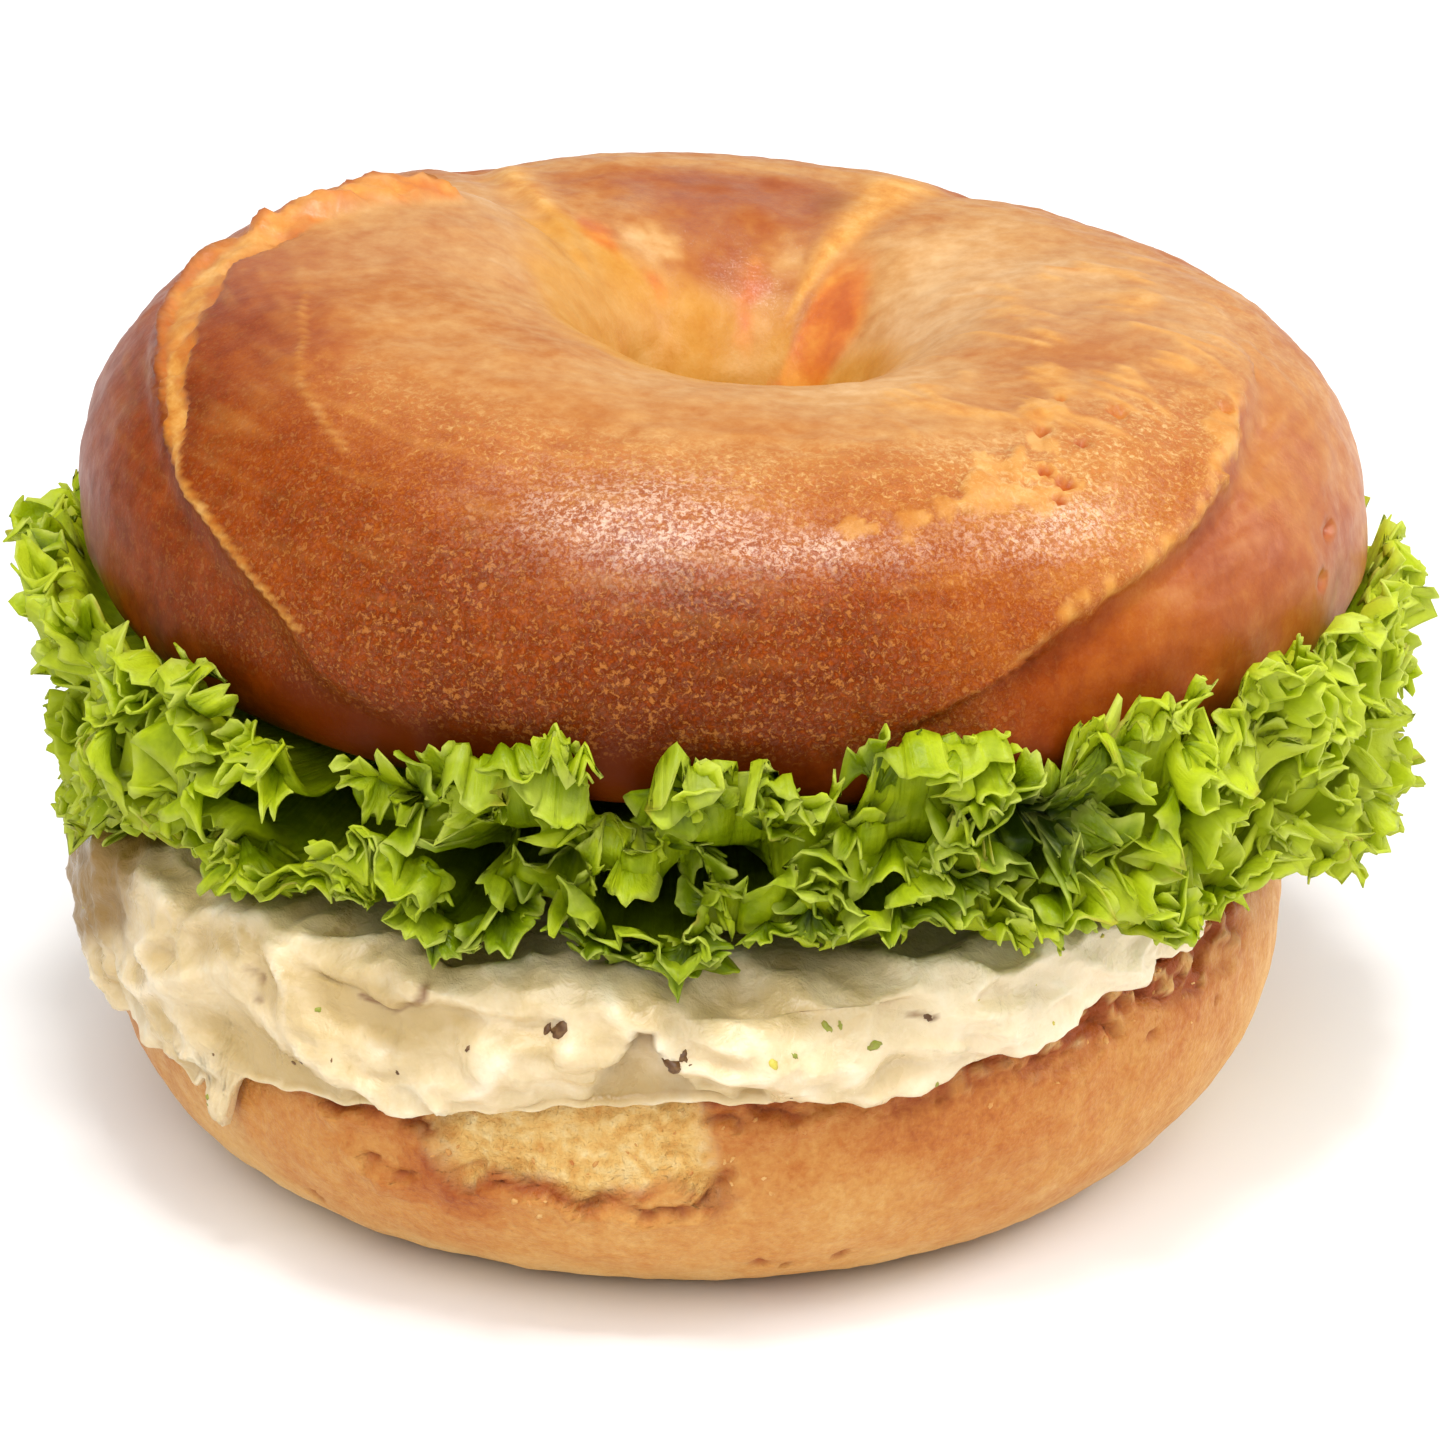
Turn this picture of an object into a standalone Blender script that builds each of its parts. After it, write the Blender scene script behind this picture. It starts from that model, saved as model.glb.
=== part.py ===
"""Bagel sandwich: a ring-shaped bagel cut in two, with creamy filling and ruffled lettuce between.

The shapes are worked out in millimetres and written in metres. +Z is up and the front is -Y.
"""
import math

import bmesh
import bpy
import numpy as np

# Scale from the millimetres used below to metres
MM = 0.001

# Where the middle of the finished outline lies, so that the part stands on the origin
MIDDLE_X = 1.7
MIDDLE_Y = -0.8

# Steps round the rings: the heel and the filling share theirs, so that they nest
RING_STEPS = 56
CROWN_STEPS = 66

# Bagel crown, the top half
CROWN_CENTRE = (1.8, 0.5)
CROWN_CUT_Z = 46.5
CROWN_PITCH = 1.0
CROWN_ROLL = 1.0
CROWN_MID_RADIUS = 33.3
CROWN_OUT = 21.7
CROWN_IN = 23.8
CROWN_RISE = 17.5
CROWN_SIDE_RISE = 1.6
CROWN_LEVEL = 8.0
CROWN_EDGE_ANGLE = 70.0
CROWN_CRUST_STEPS = 18
CROWN_FACE_STEPS = 2

# Fullness of the crown's section: powers of how far it reaches out of or into the ring, 1 for an ellipse
OUTER_POWER = 0.95
LOWER_OUTER_POWER = 0.22
INNER_POWER = 0.62
INNER_POWER_FRONT = 0.1
INNER_POWER_BACK = 0.45
LOWER_INNER_POWER = 0.12
OUTER_RISE_POWER = 0.92
INNER_RISE_POWER = 0.85

# Folds of dough on the crown: each step, how far it fades away from the line, and half its own width
LEFT_FOLD_STEP = 2.2
LEFT_FOLD_FADE = 9.0
RIGHT_FOLD_STEP = 1.8
RIGHT_FOLD_FADE = 8.0
HOLE_LEFT_FOLD_DEPTH = 1.3
HOLE_RIGHT_FOLD_DEPTH = 1.2
HOLE_FOLD_WIDTH = 3.0
FOLD_HALF_WIDTH = 2.0

# Radii that turn angles round the ring and over its section into distances along the crust
CHART_ROUND = 38.0
CHART_OVER = 22.0

# Lines on the crown where one fold of dough meets another, as (theta, phi) in degrees
LEFT_FOLD = [
    (143.0, 84.0), (156.0, 72.0), (177.0, 59.0), (187.0, 50.0), (201.0, 39.0),
    (213.0, 26.0), (222.0, 17.0), (230.0, 8.0), (236.0, -6.0),
]
RIGHT_FOLD = [(343.0, 58.0), (334.0, 51.0), (324.0, 43.0), (314.0, 34.0), (305.0, 26.0), (297.0, 16.0)]
HOLE_LEFT_FOLD = [(123.0, 66.0), (126.0, 84.0), (132.0, 108.0), (150.0, 143.0), (160.0, 160.0)]
HOLE_RIGHT_FOLD = [(58.0, 62.0), (61.0, 82.0), (62.0, 111.0), (66.0, 140.0), (70.0, 156.0)]

# Bagel heel, the bottom half
HEEL_CENTRE = (-1.2, 0.0)
HEEL_BASE_RADIUS = 40.5
HEEL_WIDE_RADIUS = 53.6
HEEL_SIDE_INSET = 1.3
HEEL_RIM_RADIUS = 52.0
HEEL_WIDE_Z = 17.0
HEEL_WIDE_TILT = 1.5
HEEL_ROUND_POWER = 1.4
HEEL_HOLE_RADIUS = 9.5
HEEL_CUT_Z = 22.8
HEEL_CUT_SIDE_SLOPE = 4.5 / 53.0
HEEL_CUT_FRONT_SLOPE = 1.0 / 53.0
HEEL_SIDE_STEPS = 7

# Where the heel's crust is torn off at the front: its middle in degrees, half width, lowest edge and depth
TEAR_HEADING = -101.0
TEAR_HALF_WIDTH = 11.8
TEAR_LOW_Z = 14.5
TEAR_DEPTH = 1.2

# Creamy filling
FILLING_TOP_Z = 34.0
FILLING_TOP_SLOPE = 0.02
FILLING_GAP = 0.4
FILLING_RADIUS = 55.3
FILLING_SIDE_INSET = 1.2
FILLING_BACK_INSET = 0.4

# Where the filling hangs down over the heel: (heading in degrees, how far, half width in radians)
FILLING_DRIPS = [
    (-150.0, 3.0, 0.35), (-178.0, 2.4, 0.3), (-120.0, 1.3, 0.25), (-72.0, 1.2, 0.22), (120.0, 1.2, 0.4),
]
FILLING_HANG = 0.5

# Where the filling stops short of the edge: heading in degrees, how far, half width in radians
FILLING_DIP = (-28.0, 2.4, 0.5)

# Lettuce: thickness, clearance, the sideways swing of a ruffle, and the border whose rows follow the edge
LEAF_THICK = 0.9
LEAF_CLEAR = 1.0
LEAF_MEANDER = 0.62
LEAF_BORDER = 10.0
LEAF_OFFSET_X = 1.5
LEAF_COLUMNS = 84
LEAF_ROWS = 5

# The room that lettuce has outside the bagel's edge
LEAF_LOW_Z = 32.0
LEAF_LOW_LEFT = 3.5
LEAF_LOW_RIGHT = 3.0
LEAF_HIGH_Z = 52.5
LEAF_HIGH_FRONT = 5.2
LEAF_HIGH_BACK = 4.0
LEAF_HIGH_FROM = 51.0

# Each leaf: where it starts and ends round the ring in degrees, how far its inner edge lies from the middle
# towards it, half the length of that edge, its layer, its number of ruffles, its seed and its reach
LEAVES = {
    "lettuce_lower_front": dict(
        start=-187.0, end=7.0, seam=-8.0, side=42.0, layer=0, waves=12.6, seed=21, reach=59.3),
    "lettuce_lower_back": dict(
        start=13.0, end=166.5, seam=11.0, side=40.0, layer=0, waves=10.3, seed=22, reach=59.0),
    "lettuce_upper_right": dict(
        start=-122.0, end=69.0, seam=-6.0, side=42.0, layer=1, waves=12.2, seed=23, reach=60.5),
    "lettuce_upper_left": dict(
        start=76.0, end=231.5, seam=9.0, side=40.0, layer=1, waves=10.4, seed=24, reach=60.0),
}

# Plain colours and roughness of the pieces
HEEL_LOOK = ((0.62, 0.30, 0.10), 0.6)
CROWN_LOOK = ((0.50, 0.20, 0.06), 0.45)
FILLING_LOOK = ((0.80, 0.68, 0.42), 0.45)
LEAF_LOOK = ((0.20, 0.38, 0.03), 0.4)


def smooth(low, high, value):
    """A soft step from 0 at low to 1 at high."""
    t = np.clip((value - low) / (high - low), 0.0, 1.0)
    return t * t * (3.0 - 2.0 * t)


def hump(value, middle, width):
    """A bell that is 1 at the middle."""
    return np.exp(-((value - middle) / width) ** 2)


def turn(theta, centre):
    """The angle from centre to theta, between minus pi and pi."""
    return (theta - centre + np.pi) % (2.0 * np.pi) - np.pi


def near(theta, heading, width):
    """A bell round the ring that is 1 at a heading in degrees."""
    return hump(turn(theta, math.radians(heading)), 0.0, width)


def ripple(theta, seed, low, high, size):
    """Gentle uneven variation round the ring."""
    rng = np.random.default_rng(seed)
    total = np.zeros_like(theta)
    for count in range(low, high + 1):
        strength = rng.uniform(0.5, 1.0)
        phase = rng.uniform(0.0, 2.0 * np.pi)
        total = total + strength * np.sin(count * theta + phase)
    return size * total / math.sqrt(high - low + 1.0)


def swell(x, y, seed, length, size):
    """Gentle uneven variation over a surface."""
    rng = np.random.default_rng(seed)
    total = np.zeros_like(x)
    for _ in range(6):
        heading = rng.uniform(0.0, 2.0 * np.pi)
        phase = rng.uniform(0.0, 2.0 * np.pi)
        pitch = 2.0 * np.pi / (length * rng.uniform(0.75, 1.4))
        total = total + np.sin(pitch * (x * math.cos(heading) + y * math.sin(heading)) + phase)
    return size * total / 2.5


def from_line(theta, phi, line):
    """Signed distance in millimetres on the crown from a line of (theta, phi) points in degrees."""
    points = np.radians(np.array(line))
    centre = points[:, 0].mean()
    across = turn(theta, centre) * CHART_ROUND
    along = phi * CHART_OVER
    line_x = (points[:, 0] - centre) * CHART_ROUND
    line_y = points[:, 1] * CHART_OVER
    best = np.full(np.broadcast(across, along).shape, np.inf)
    signed = best
    for ax, ay, bx, by in zip(line_x[:-1], line_y[:-1], line_x[1:], line_y[1:]):
        length = math.hypot(bx - ax, by - ay)
        dx, dy = (bx - ax) / length, (by - ay) / length
        s = np.clip((across - ax) * dx + (along - ay) * dy, 0.0, length)
        away_x, away_y = across - ax - s * dx, along - ay - s * dy
        away = np.hypot(away_x, away_y)
        side = np.where(dx * away_y - dy * away_x >= 0.0, 1.0, -1.0)
        signed = np.where(away < best, side * away, signed)
        best = np.minimum(away, best)
    return signed


def crown_relief(theta, phi):
    """How far the folds of dough raise or lower the crust."""
    left = from_line(theta, phi, LEFT_FOLD)
    right = from_line(theta, phi, RIGHT_FOLD)
    left_step = smooth(-FOLD_HALF_WIDTH, FOLD_HALF_WIDTH, left) - 0.4
    right_step = smooth(-FOLD_HALF_WIDTH, FOLD_HALF_WIDTH, right) - 0.5
    relief = LEFT_FOLD_STEP * left_step * np.exp(-np.abs(left) / LEFT_FOLD_FADE)
    relief = relief - RIGHT_FOLD_STEP * right_step * np.exp(-np.abs(right) / RIGHT_FOLD_FADE)
    for line, depth in ((HOLE_LEFT_FOLD, HOLE_LEFT_FOLD_DEPTH), (HOLE_RIGHT_FOLD, HOLE_RIGHT_FOLD_DEPTH)):
        relief = relief - depth * hump(from_line(theta, phi, line), 0.0, HOLE_FOLD_WIDTH)
    return relief


def crown_ring(theta, phi):
    """The crown's crust before it is set down: phi is 0 outermost, 90 degrees on top and 180 innermost."""
    left = -np.cos(theta)
    front = -np.sin(theta)
    out = CROWN_OUT + 0.45 * left + ripple(theta, 3, 2, 6, 0.35)
    level = CROWN_LEVEL + CROWN_SIDE_RISE * left
    rise = CROWN_RISE + 0.7 * left + CROWN_SIDE_RISE * left ** 2 + ripple(theta, 4, 2, 6, 0.35)
    inner_power = INNER_POWER + np.where(front > 0.0, INNER_POWER_FRONT, INNER_POWER_BACK) * front ** 2
    cosine, sine = np.cos(phi), np.sin(phi)
    reach = np.abs(cosine)
    upper = sine >= 0.0
    outer = cosine >= 0.0
    out_reach = out * np.where(upper, reach ** OUTER_POWER, reach ** LOWER_OUTER_POWER)
    in_reach = CROWN_IN * np.where(upper, reach ** inner_power, reach ** LOWER_INNER_POWER)
    rho = CROWN_MID_RADIUS + np.where(outer, out_reach, -in_reach)
    rise_power = np.where(outer, OUTER_RISE_POWER, INNER_RISE_POWER)
    edge = math.sin(math.radians(CROWN_EDGE_ANGLE))
    z = np.where(upper, level + rise * np.abs(sine) ** rise_power, level * (1.0 - np.abs(sine) / edge))
    relief = crown_relief(theta, phi) * smooth(-0.5, 0.1, sine)
    rho = rho + relief * cosine
    z = np.maximum(z + relief * np.maximum(sine, 0.0), 0.0)
    return rho * np.cos(theta), rho * np.sin(theta), z


def set_crown(x, y, z):
    """Tip the crown slightly and lift it onto the lettuce."""
    pitch, roll = math.radians(CROWN_PITCH), math.radians(CROWN_ROLL)
    y, z = y * math.cos(pitch) + z * math.sin(pitch), z * math.cos(pitch) - y * math.sin(pitch)
    x, z = x * math.cos(roll) + z * math.sin(roll), z * math.cos(roll) - x * math.sin(roll)
    return x + CROWN_CENTRE[0], y + CROWN_CENTRE[1], z + CROWN_CUT_Z


def crown_cut(x, y):
    """Height of the crown's cut face."""
    pitch, roll = math.radians(CROWN_PITCH), math.radians(CROWN_ROLL)
    return CROWN_CUT_Z - (y - CROWN_CENTRE[1]) * math.sin(pitch) - (x - CROWN_CENTRE[0]) * math.sin(roll)


def crown_grid(ring, crust, face):
    """The whole skin of the crown: crust from the outer edge over the top to the hole, then the cut face."""
    theta = np.linspace(0.0, 2.0 * np.pi, ring, endpoint=False)[:, None]
    edge = math.radians(CROWN_EDGE_ANGLE)
    phi = np.linspace(-edge, math.pi + edge, crust + 1)[None, :]
    theta, phi = np.broadcast_arrays(theta, phi)
    x, y, z = crown_ring(theta, phi)
    share = np.linspace(0.0, 1.0, face + 1)[1:-1][None, :]
    x = np.concatenate([x, x[:, -1:] * (1.0 - share) + x[:, :1] * share], axis=1)
    y = np.concatenate([y, y[:, -1:] * (1.0 - share) + y[:, :1] * share], axis=1)
    z = np.concatenate([z, np.zeros((ring, face - 1))], axis=1)
    return set_crown(x, y, z)


def heel_cut(x, y):
    """Height of the heel's cut face, higher on the right and at the front."""
    return HEEL_CUT_Z + HEEL_CUT_SIDE_SLOPE * x - HEEL_CUT_FRONT_SLOPE * y


def heel_rim_cut(theta):
    """Height of the heel's cut face at its rim."""
    x = HEEL_RIM_RADIUS * np.cos(theta) + HEEL_CENTRE[0]
    y = HEEL_RIM_RADIUS * np.sin(theta) + HEEL_CENTRE[1]
    return heel_cut(x, y)


def heel_side(theta, z):
    """Radius of the heel's crust at a height, measured from the middle of the heel."""
    wide = HEEL_WIDE_RADIUS - HEEL_SIDE_INSET * np.cos(theta) ** 2 + ripple(theta, 5, 2, 5, 0.35)
    base = HEEL_BASE_RADIUS + ripple(theta, 6, 2, 5, 0.8)
    level = HEEL_WIDE_Z + HEEL_WIDE_TILT * np.cos(theta)
    below = np.clip((level - z) / level, 0.0, 1.0)
    above = np.clip((z - level) / 8.0, 0.0, 1.3)
    return base + (wide - base) * np.sqrt(1.0 - below ** 2) ** HEEL_ROUND_POWER - 1.6 * above ** 2


def heel_tear(theta, z):
    """How deep the crust is torn off at the front, where the crumb shows."""
    across = turn(theta, math.radians(TEAR_HEADING)) * HEEL_RIM_RADIUS
    ragged = 2.2 * np.sin(across * 0.55 + 0.6) + 1.4 * np.sin(across * 1.3 + z * 0.4)
    beside = np.abs(across + 0.3 * (z - 19.0)) + ragged * 0.4
    inside = smooth(TEAR_HALF_WIDTH + 1.8, TEAR_HALF_WIDTH - 1.8, beside)
    return TEAR_DEPTH * inside * smooth(TEAR_LOW_Z - 0.9, TEAR_LOW_Z + 0.9, z + ragged * 0.5)


def heel_grid(ring, side):
    """The whole skin of the heel: base, crust up to the cut, cut face, hole."""
    theta = np.linspace(0.0, 2.0 * np.pi, ring, endpoint=False)[:, None]
    cos, sin = np.cos(theta), np.sin(theta)
    climb = (1.0 - np.cos(np.linspace(0.0, 0.5 * np.pi, side + 1)[None, :])) ** 0.8
    z_side = heel_rim_cut(theta) * climb
    r_side = heel_side(theta, z_side) - heel_tear(theta, z_side)
    hole = HEEL_HOLE_RADIUS + ripple(theta, 7, 2, 4, 0.5)
    z_hole = heel_cut(hole * cos + HEEL_CENTRE[0], hole * sin + HEEL_CENTRE[1])
    flat = np.zeros_like(theta)
    on_cut = None
    rows = [
        (r_side, z_side),
        (r_side[:, -1:] * 0.68, on_cut),
        (hole + 7.0, on_cut),
        (hole + 1.0, on_cut),
        (hole, z_hole * 0.86),
        (hole + 0.6, z_hole * 0.4),
        (hole + 3.5, flat),
        (r_side[:, :1] * 0.6, flat),
    ]
    x_all, y_all, z_all = [], [], []
    for radius, z in rows:
        x = radius * cos + HEEL_CENTRE[0]
        y = radius * sin + HEEL_CENTRE[1]
        x_all.append(x)
        y_all.append(y)
        z_all.append(heel_cut(x, y) if z is on_cut else z)
    return np.hstack(x_all), np.hstack(y_all), np.hstack(z_all)


def filling_drop(theta):
    """How far the filling hangs down over the crust of the heel."""
    heading, _, width = FILLING_DIP
    drop = FILLING_HANG * (1.0 - near(theta, heading, width))
    for heading, depth, width in FILLING_DRIPS:
        drop = drop + depth * near(theta, heading, width)
    return drop


def filling_radius(theta):
    """Radius of the filling's bulging edge, measured from the middle of the heel."""
    heading, depth, width = FILLING_DIP
    radius = FILLING_RADIUS - FILLING_SIDE_INSET * np.cos(theta) ** 2 + ripple(theta, 8, 3, 9, 0.4)
    radius = radius - depth * near(theta, heading, width)
    return radius + 0.1 * filling_drop(theta) - FILLING_BACK_INSET * smooth(0.0, 1.0, np.sin(theta))


def filling_top(x, y):
    """Height of the filling's upper face away from its edge."""
    return FILLING_TOP_Z + FILLING_TOP_SLOPE * x + swell(x, y, 9, 30.0, 0.5)


def filling_grid(ring):
    """The filling's skin from the middle of its underside out over the lip to the middle of its top."""
    theta = np.linspace(0.0, 2.0 * np.pi, ring, endpoint=False)[:, None]
    cos, sin = np.cos(theta), np.sin(theta)
    bulge = filling_radius(theta)
    rim_cut = heel_rim_cut(theta)
    low = rim_cut + FILLING_GAP - filling_drop(theta)
    widest = heel_side(theta, np.maximum(low, HEEL_WIDE_Z))
    side = np.maximum(heel_side(theta, rim_cut), np.maximum(heel_side(theta, low), widest)) + FILLING_GAP
    over = smooth(0.9, 1.4, bulge - side)
    lip = rim_cut + FILLING_GAP - filling_drop(theta) * over
    wall = np.minimum(side, bulge - 1.0)
    crest = filling_top(bulge * 0.9 * cos + HEEL_CENTRE[0], bulge * 0.9 * sin + HEEL_CENTRE[1])
    flat = np.zeros_like(theta)
    under, on_top = "under", "on top"
    rows = [
        (3.0 + flat, under),
        (22.0 + flat, under),
        (42.0 + flat, under),
        (wall, rim_cut + FILLING_GAP),
        (wall + 0.05, lip + 0.35 * over),
        (0.5 * (wall + bulge), lip + 0.1 * (1.0 - over)),
        (bulge, lip + 1.8),
        (bulge + 0.2, 0.5 * (lip + crest)),
        (bulge - 1.4, crest - 2.0),
        (bulge - 5.0, crest),
        (40.0 + flat, on_top),
        (24.0 + flat, on_top),
        (9.0 + flat, on_top),
    ]
    x_all, y_all, z_all = [], [], []
    for radius, z in rows:
        x = radius * cos + HEEL_CENTRE[0]
        y = radius * sin + HEEL_CENTRE[1]
        if z is under:
            z = heel_cut(x, y) + FILLING_GAP
        elif z is on_top:
            z = filling_top(x, y)
        x_all.append(x)
        y_all.append(y)
        z_all.append(z)
    return np.hstack(x_all), np.hstack(y_all), np.hstack(z_all)


def leaf_floor(x, y):
    """Lowest place for lettuce: on the filling, and outside its edge a little way down in front of it."""
    from_x, from_y = x - HEEL_CENTRE[0], y - HEEL_CENTRE[1]
    theta = np.arctan2(from_y, from_x)
    low = LEAF_LOW_Z - LEAF_LOW_LEFT * near(theta, 180.0, 0.9) - LEAF_LOW_RIGHT * near(theta, 0.0, 0.8)
    low = low + ripple(theta, 31, 3, 8, 0.9)
    top = filling_top(x, y) + LEAF_CLEAR
    share = np.clip((np.hypot(from_x, from_y) - filling_radius(theta) + 5.0) / 6.6, 0.0, 1.0)
    return top - (top - low) * share ** 3


def leaf_ceiling(x, y):
    """Highest place for lettuce: under the crown, and outside its edge a little way up in front of it."""
    from_x, from_y = x - CROWN_CENTRE[0], y - CROWN_CENTRE[1]
    theta = np.arctan2(from_y, from_x)
    high = LEAF_HIGH_Z + LEAF_HIGH_FRONT * near(theta, -80.0, 0.8)
    high = high - LEAF_HIGH_BACK * smooth(0.05, 0.5, np.sin(theta)) + ripple(theta, 32, 3, 8, 1.1)
    under = crown_cut(x, y) - LEAF_CLEAR
    share = np.clip((np.hypot(from_x, from_y) - LEAF_HIGH_FROM) / 6.2, 0.0, 1.0)
    return under + (high - under) * share ** 3.2


def leaf_between(x, y):
    """The wandering surface between the lower and the upper leaves."""
    theta = np.arctan2(y, x)
    outside = smooth(40.0, 60.0, np.hypot(x, y))
    wander = swell(x, y, 33, 26.0, 0.8) + ripple(theta, 34, 3, 9, 1.0) * outside
    return 0.5 * (leaf_floor(x, y) + leaf_ceiling(x, y)) + wander


def leaf_plan(leaf, u, t):
    """The leaf laid flat: u runs along its ruffled edge and t from its inner edge out to that one.

    The outer half of t is the border of the leaf, whose rows follow the ruffled edge.
    """
    theta = np.radians(leaf["start"] + (leaf["end"] - leaf["start"]) * u)
    heading = math.radians(0.5 * (leaf["start"] + leaf["end"]))
    reach = leaf["reach"] + ripple(theta, leaf["seed"], 3, 10, 1.1) + 1.2 * np.cos(theta) ** 2
    reach = reach - 2.5 * smooth(0.15, 0.8, np.sin(theta))
    across = leaf["side"] * (2.0 * u - 1.0)
    in_x = leaf["seam"] * math.cos(heading) - across * math.sin(heading)
    in_y = leaf["seam"] * math.sin(heading) + across * math.cos(heading)
    inset = LEAF_BORDER * np.clip(2.0 - 2.0 * t, 0.0, 1.0)
    border_x = (reach - inset) * np.cos(theta) + LEAF_OFFSET_X
    border_y = (reach - inset) * np.sin(theta)
    share = np.minimum(2.0 * t, 1.0)
    return in_x + (border_x - in_x) * share, in_y + (border_y - in_y) * share, theta


def leaf_sheet(leaf, u, t):
    """The leaf's middle surface, ruffled between its floor and its ceiling."""
    x, y, theta = leaf_plan(leaf, u, t)
    rng = np.random.default_rng(leaf["seed"] + 100)
    phase = 2.0 * np.pi * leaf["waves"] * u
    for count in range(1, 7):
        size = rng.uniform(0.8, 1.6) / count
        phase = phase + size * np.sin(2.0 * np.pi * count * u + rng.uniform(0.0, 2.0 * np.pi))
    strength = 0.82 + 0.18 * np.sin(2.0 * np.pi * 3.3 * u + rng.uniform(0.0, 2.0 * np.pi))
    strength = strength * (0.92 + 0.08 * np.sin(2.0 * np.pi * 7.7 * u + rng.uniform(0.0, 2.0 * np.pi)))
    ends = smooth(0.0, 0.05, u) * smooth(1.0, 0.95, u)
    rim = smooth(0.1, 0.8, t)
    spacing = np.hypot(np.gradient(x, axis=0), np.gradient(y, axis=0)) / np.gradient(phase, axis=0)
    meander = -LEAF_MEANDER * ends * rim * spacing * np.sin(2.0 * phase)
    x = x - meander * np.sin(theta)
    y = y + meander * np.cos(theta)
    inner = np.clip(swell(x, y, leaf["seed"] + 200, 21.0, 0.75), -1.0, 1.0)
    wave = inner * (1.0 - rim) + strength * np.sin(phase + 0.6 * (1.0 - t)) * rim
    wave = wave * (0.3 + 0.7 * ends)
    between = leaf_between(x, y)
    if leaf["layer"] == 0:
        low, high = leaf_floor(x, y), between - LEAF_CLEAR
    else:
        low, high = between + LEAF_CLEAR, leaf_ceiling(x, y)
    return x, y, low + (high - low) * (0.5 + 0.5 * wave)


def skin(columns, rows, closed_rows):
    """Triangles over a grid that goes round in the first direction, and in the second if closed_rows."""
    faces = []
    last = rows if closed_rows else rows - 1
    for i in range(columns):
        for j in range(last):
            a = i * rows + j
            b = ((i + 1) % columns) * rows + j
            c = ((i + 1) % columns) * rows + (j + 1) % rows
            d = i * rows + (j + 1) % rows
            faces += [(a, b, c), (a, c, d)] if (i + j) % 2 == 0 else [(a, b, d), (b, c, d)]
    return faces


def ring_body(grid):
    """A closed ring from a grid that goes round both ways."""
    columns, rows = grid[0].shape
    points = np.stack(grid, axis=-1).reshape(-1, 3)
    return points, skin(columns, rows, True)


def capped_body(grid):
    """A closed lump from a grid whose first and last rows close over a middle point."""
    columns, rows = grid[0].shape
    points = np.stack(grid, axis=-1).reshape(-1, 3)
    faces = skin(columns, rows, False)
    first = points[0::rows].mean(axis=0)
    last = points[rows - 1::rows].mean(axis=0)
    count = len(points)
    for i in range(columns):
        after = (i + 1) % columns
        faces.append((count, after * rows, i * rows))
        faces.append((count + 1, i * rows + rows - 1, after * rows + rows - 1))
    return np.vstack([points, first, last]), faces


def leaf_body(leaf, columns, rows):
    """A thin leaf with matching triangles on both faces."""
    u = np.linspace(0.0, 1.0, columns + 1)[:, None]
    t = (np.linspace(0.0, 1.0, rows + 1) ** 0.8)[None, :]
    u, t = np.broadcast_arrays(u, t)
    middle = np.stack(leaf_sheet(leaf, u, t), axis=-1).reshape(-1, 3)
    across = rows + 1
    sheet = []
    for i in range(columns):
        for j in range(rows):
            a, b = i * across + j, (i + 1) * across + j
            c, d = b + 1, a + 1
            sheet += [(a, d, c), (a, c, b)] if (i + j) % 2 == 0 else [(a, d, b), (d, c, b)]
    triangles = np.array(sheet)
    corners = middle[triangles]
    slope = np.cross(corners[:, 1] - corners[:, 0], corners[:, 2] - corners[:, 0])
    normal = np.zeros_like(middle)
    for column in range(3):
        np.add.at(normal, triangles[:, column], slope)
    normal = normal / np.linalg.norm(normal, axis=-1, keepdims=True)
    tip = (1.0 - smooth(0.0, 0.06, np.minimum(u, 1.0 - u))) * (1.0 - smooth(0.0, 0.5, t))
    half = (0.5 * LEAF_THICK * (1.0 - 0.8 * tip)).reshape(-1, 1)
    below = len(middle)
    faces = sheet + [(below + p, below + r, below + q) for p, q, r in sheet]
    edge = [i * across for i in range(columns + 1)]
    edge += [columns * across + j for j in range(1, rows + 1)]
    edge += [i * across + rows for i in range(columns - 1, -1, -1)]
    edge += [j for j in range(rows - 1, 0, -1)]
    for a, b in zip(edge, edge[1:] + edge[:1]):
        faces += [(a, b, below + b), (a, below + b, below + a)]
    return np.vstack([middle + half * normal, middle - half * normal]), faces


def material(name, colour, roughness):
    """A plain material of one colour."""
    made = bpy.data.materials.new(name)
    made.use_nodes = True
    shader = made.node_tree.nodes["Principled BSDF"]
    shader.inputs["Base Color"].default_value = (*colour, 1.0)
    shader.inputs["Roughness"].default_value = roughness
    made.diffuse_color = (*colour, 1.0)
    return made


def add_body(name, body, look):
    """Write a closed body as a named object."""
    points, faces = body
    points = (points - np.array([MIDDLE_X, MIDDLE_Y, 0.0])) * MM
    mesh = bpy.data.meshes.new(name)
    mesh.from_pydata(points.tolist(), [], faces)
    shape = bmesh.new()
    shape.from_mesh(mesh)
    bmesh.ops.recalc_face_normals(shape, faces=shape.faces)
    shape.to_mesh(mesh)
    shape.free()
    mesh.shade_smooth()
    mesh.materials.append(material(name, *look))
    made = bpy.data.objects.new(name, mesh)
    bpy.context.scene.collection.objects.link(made)


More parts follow.
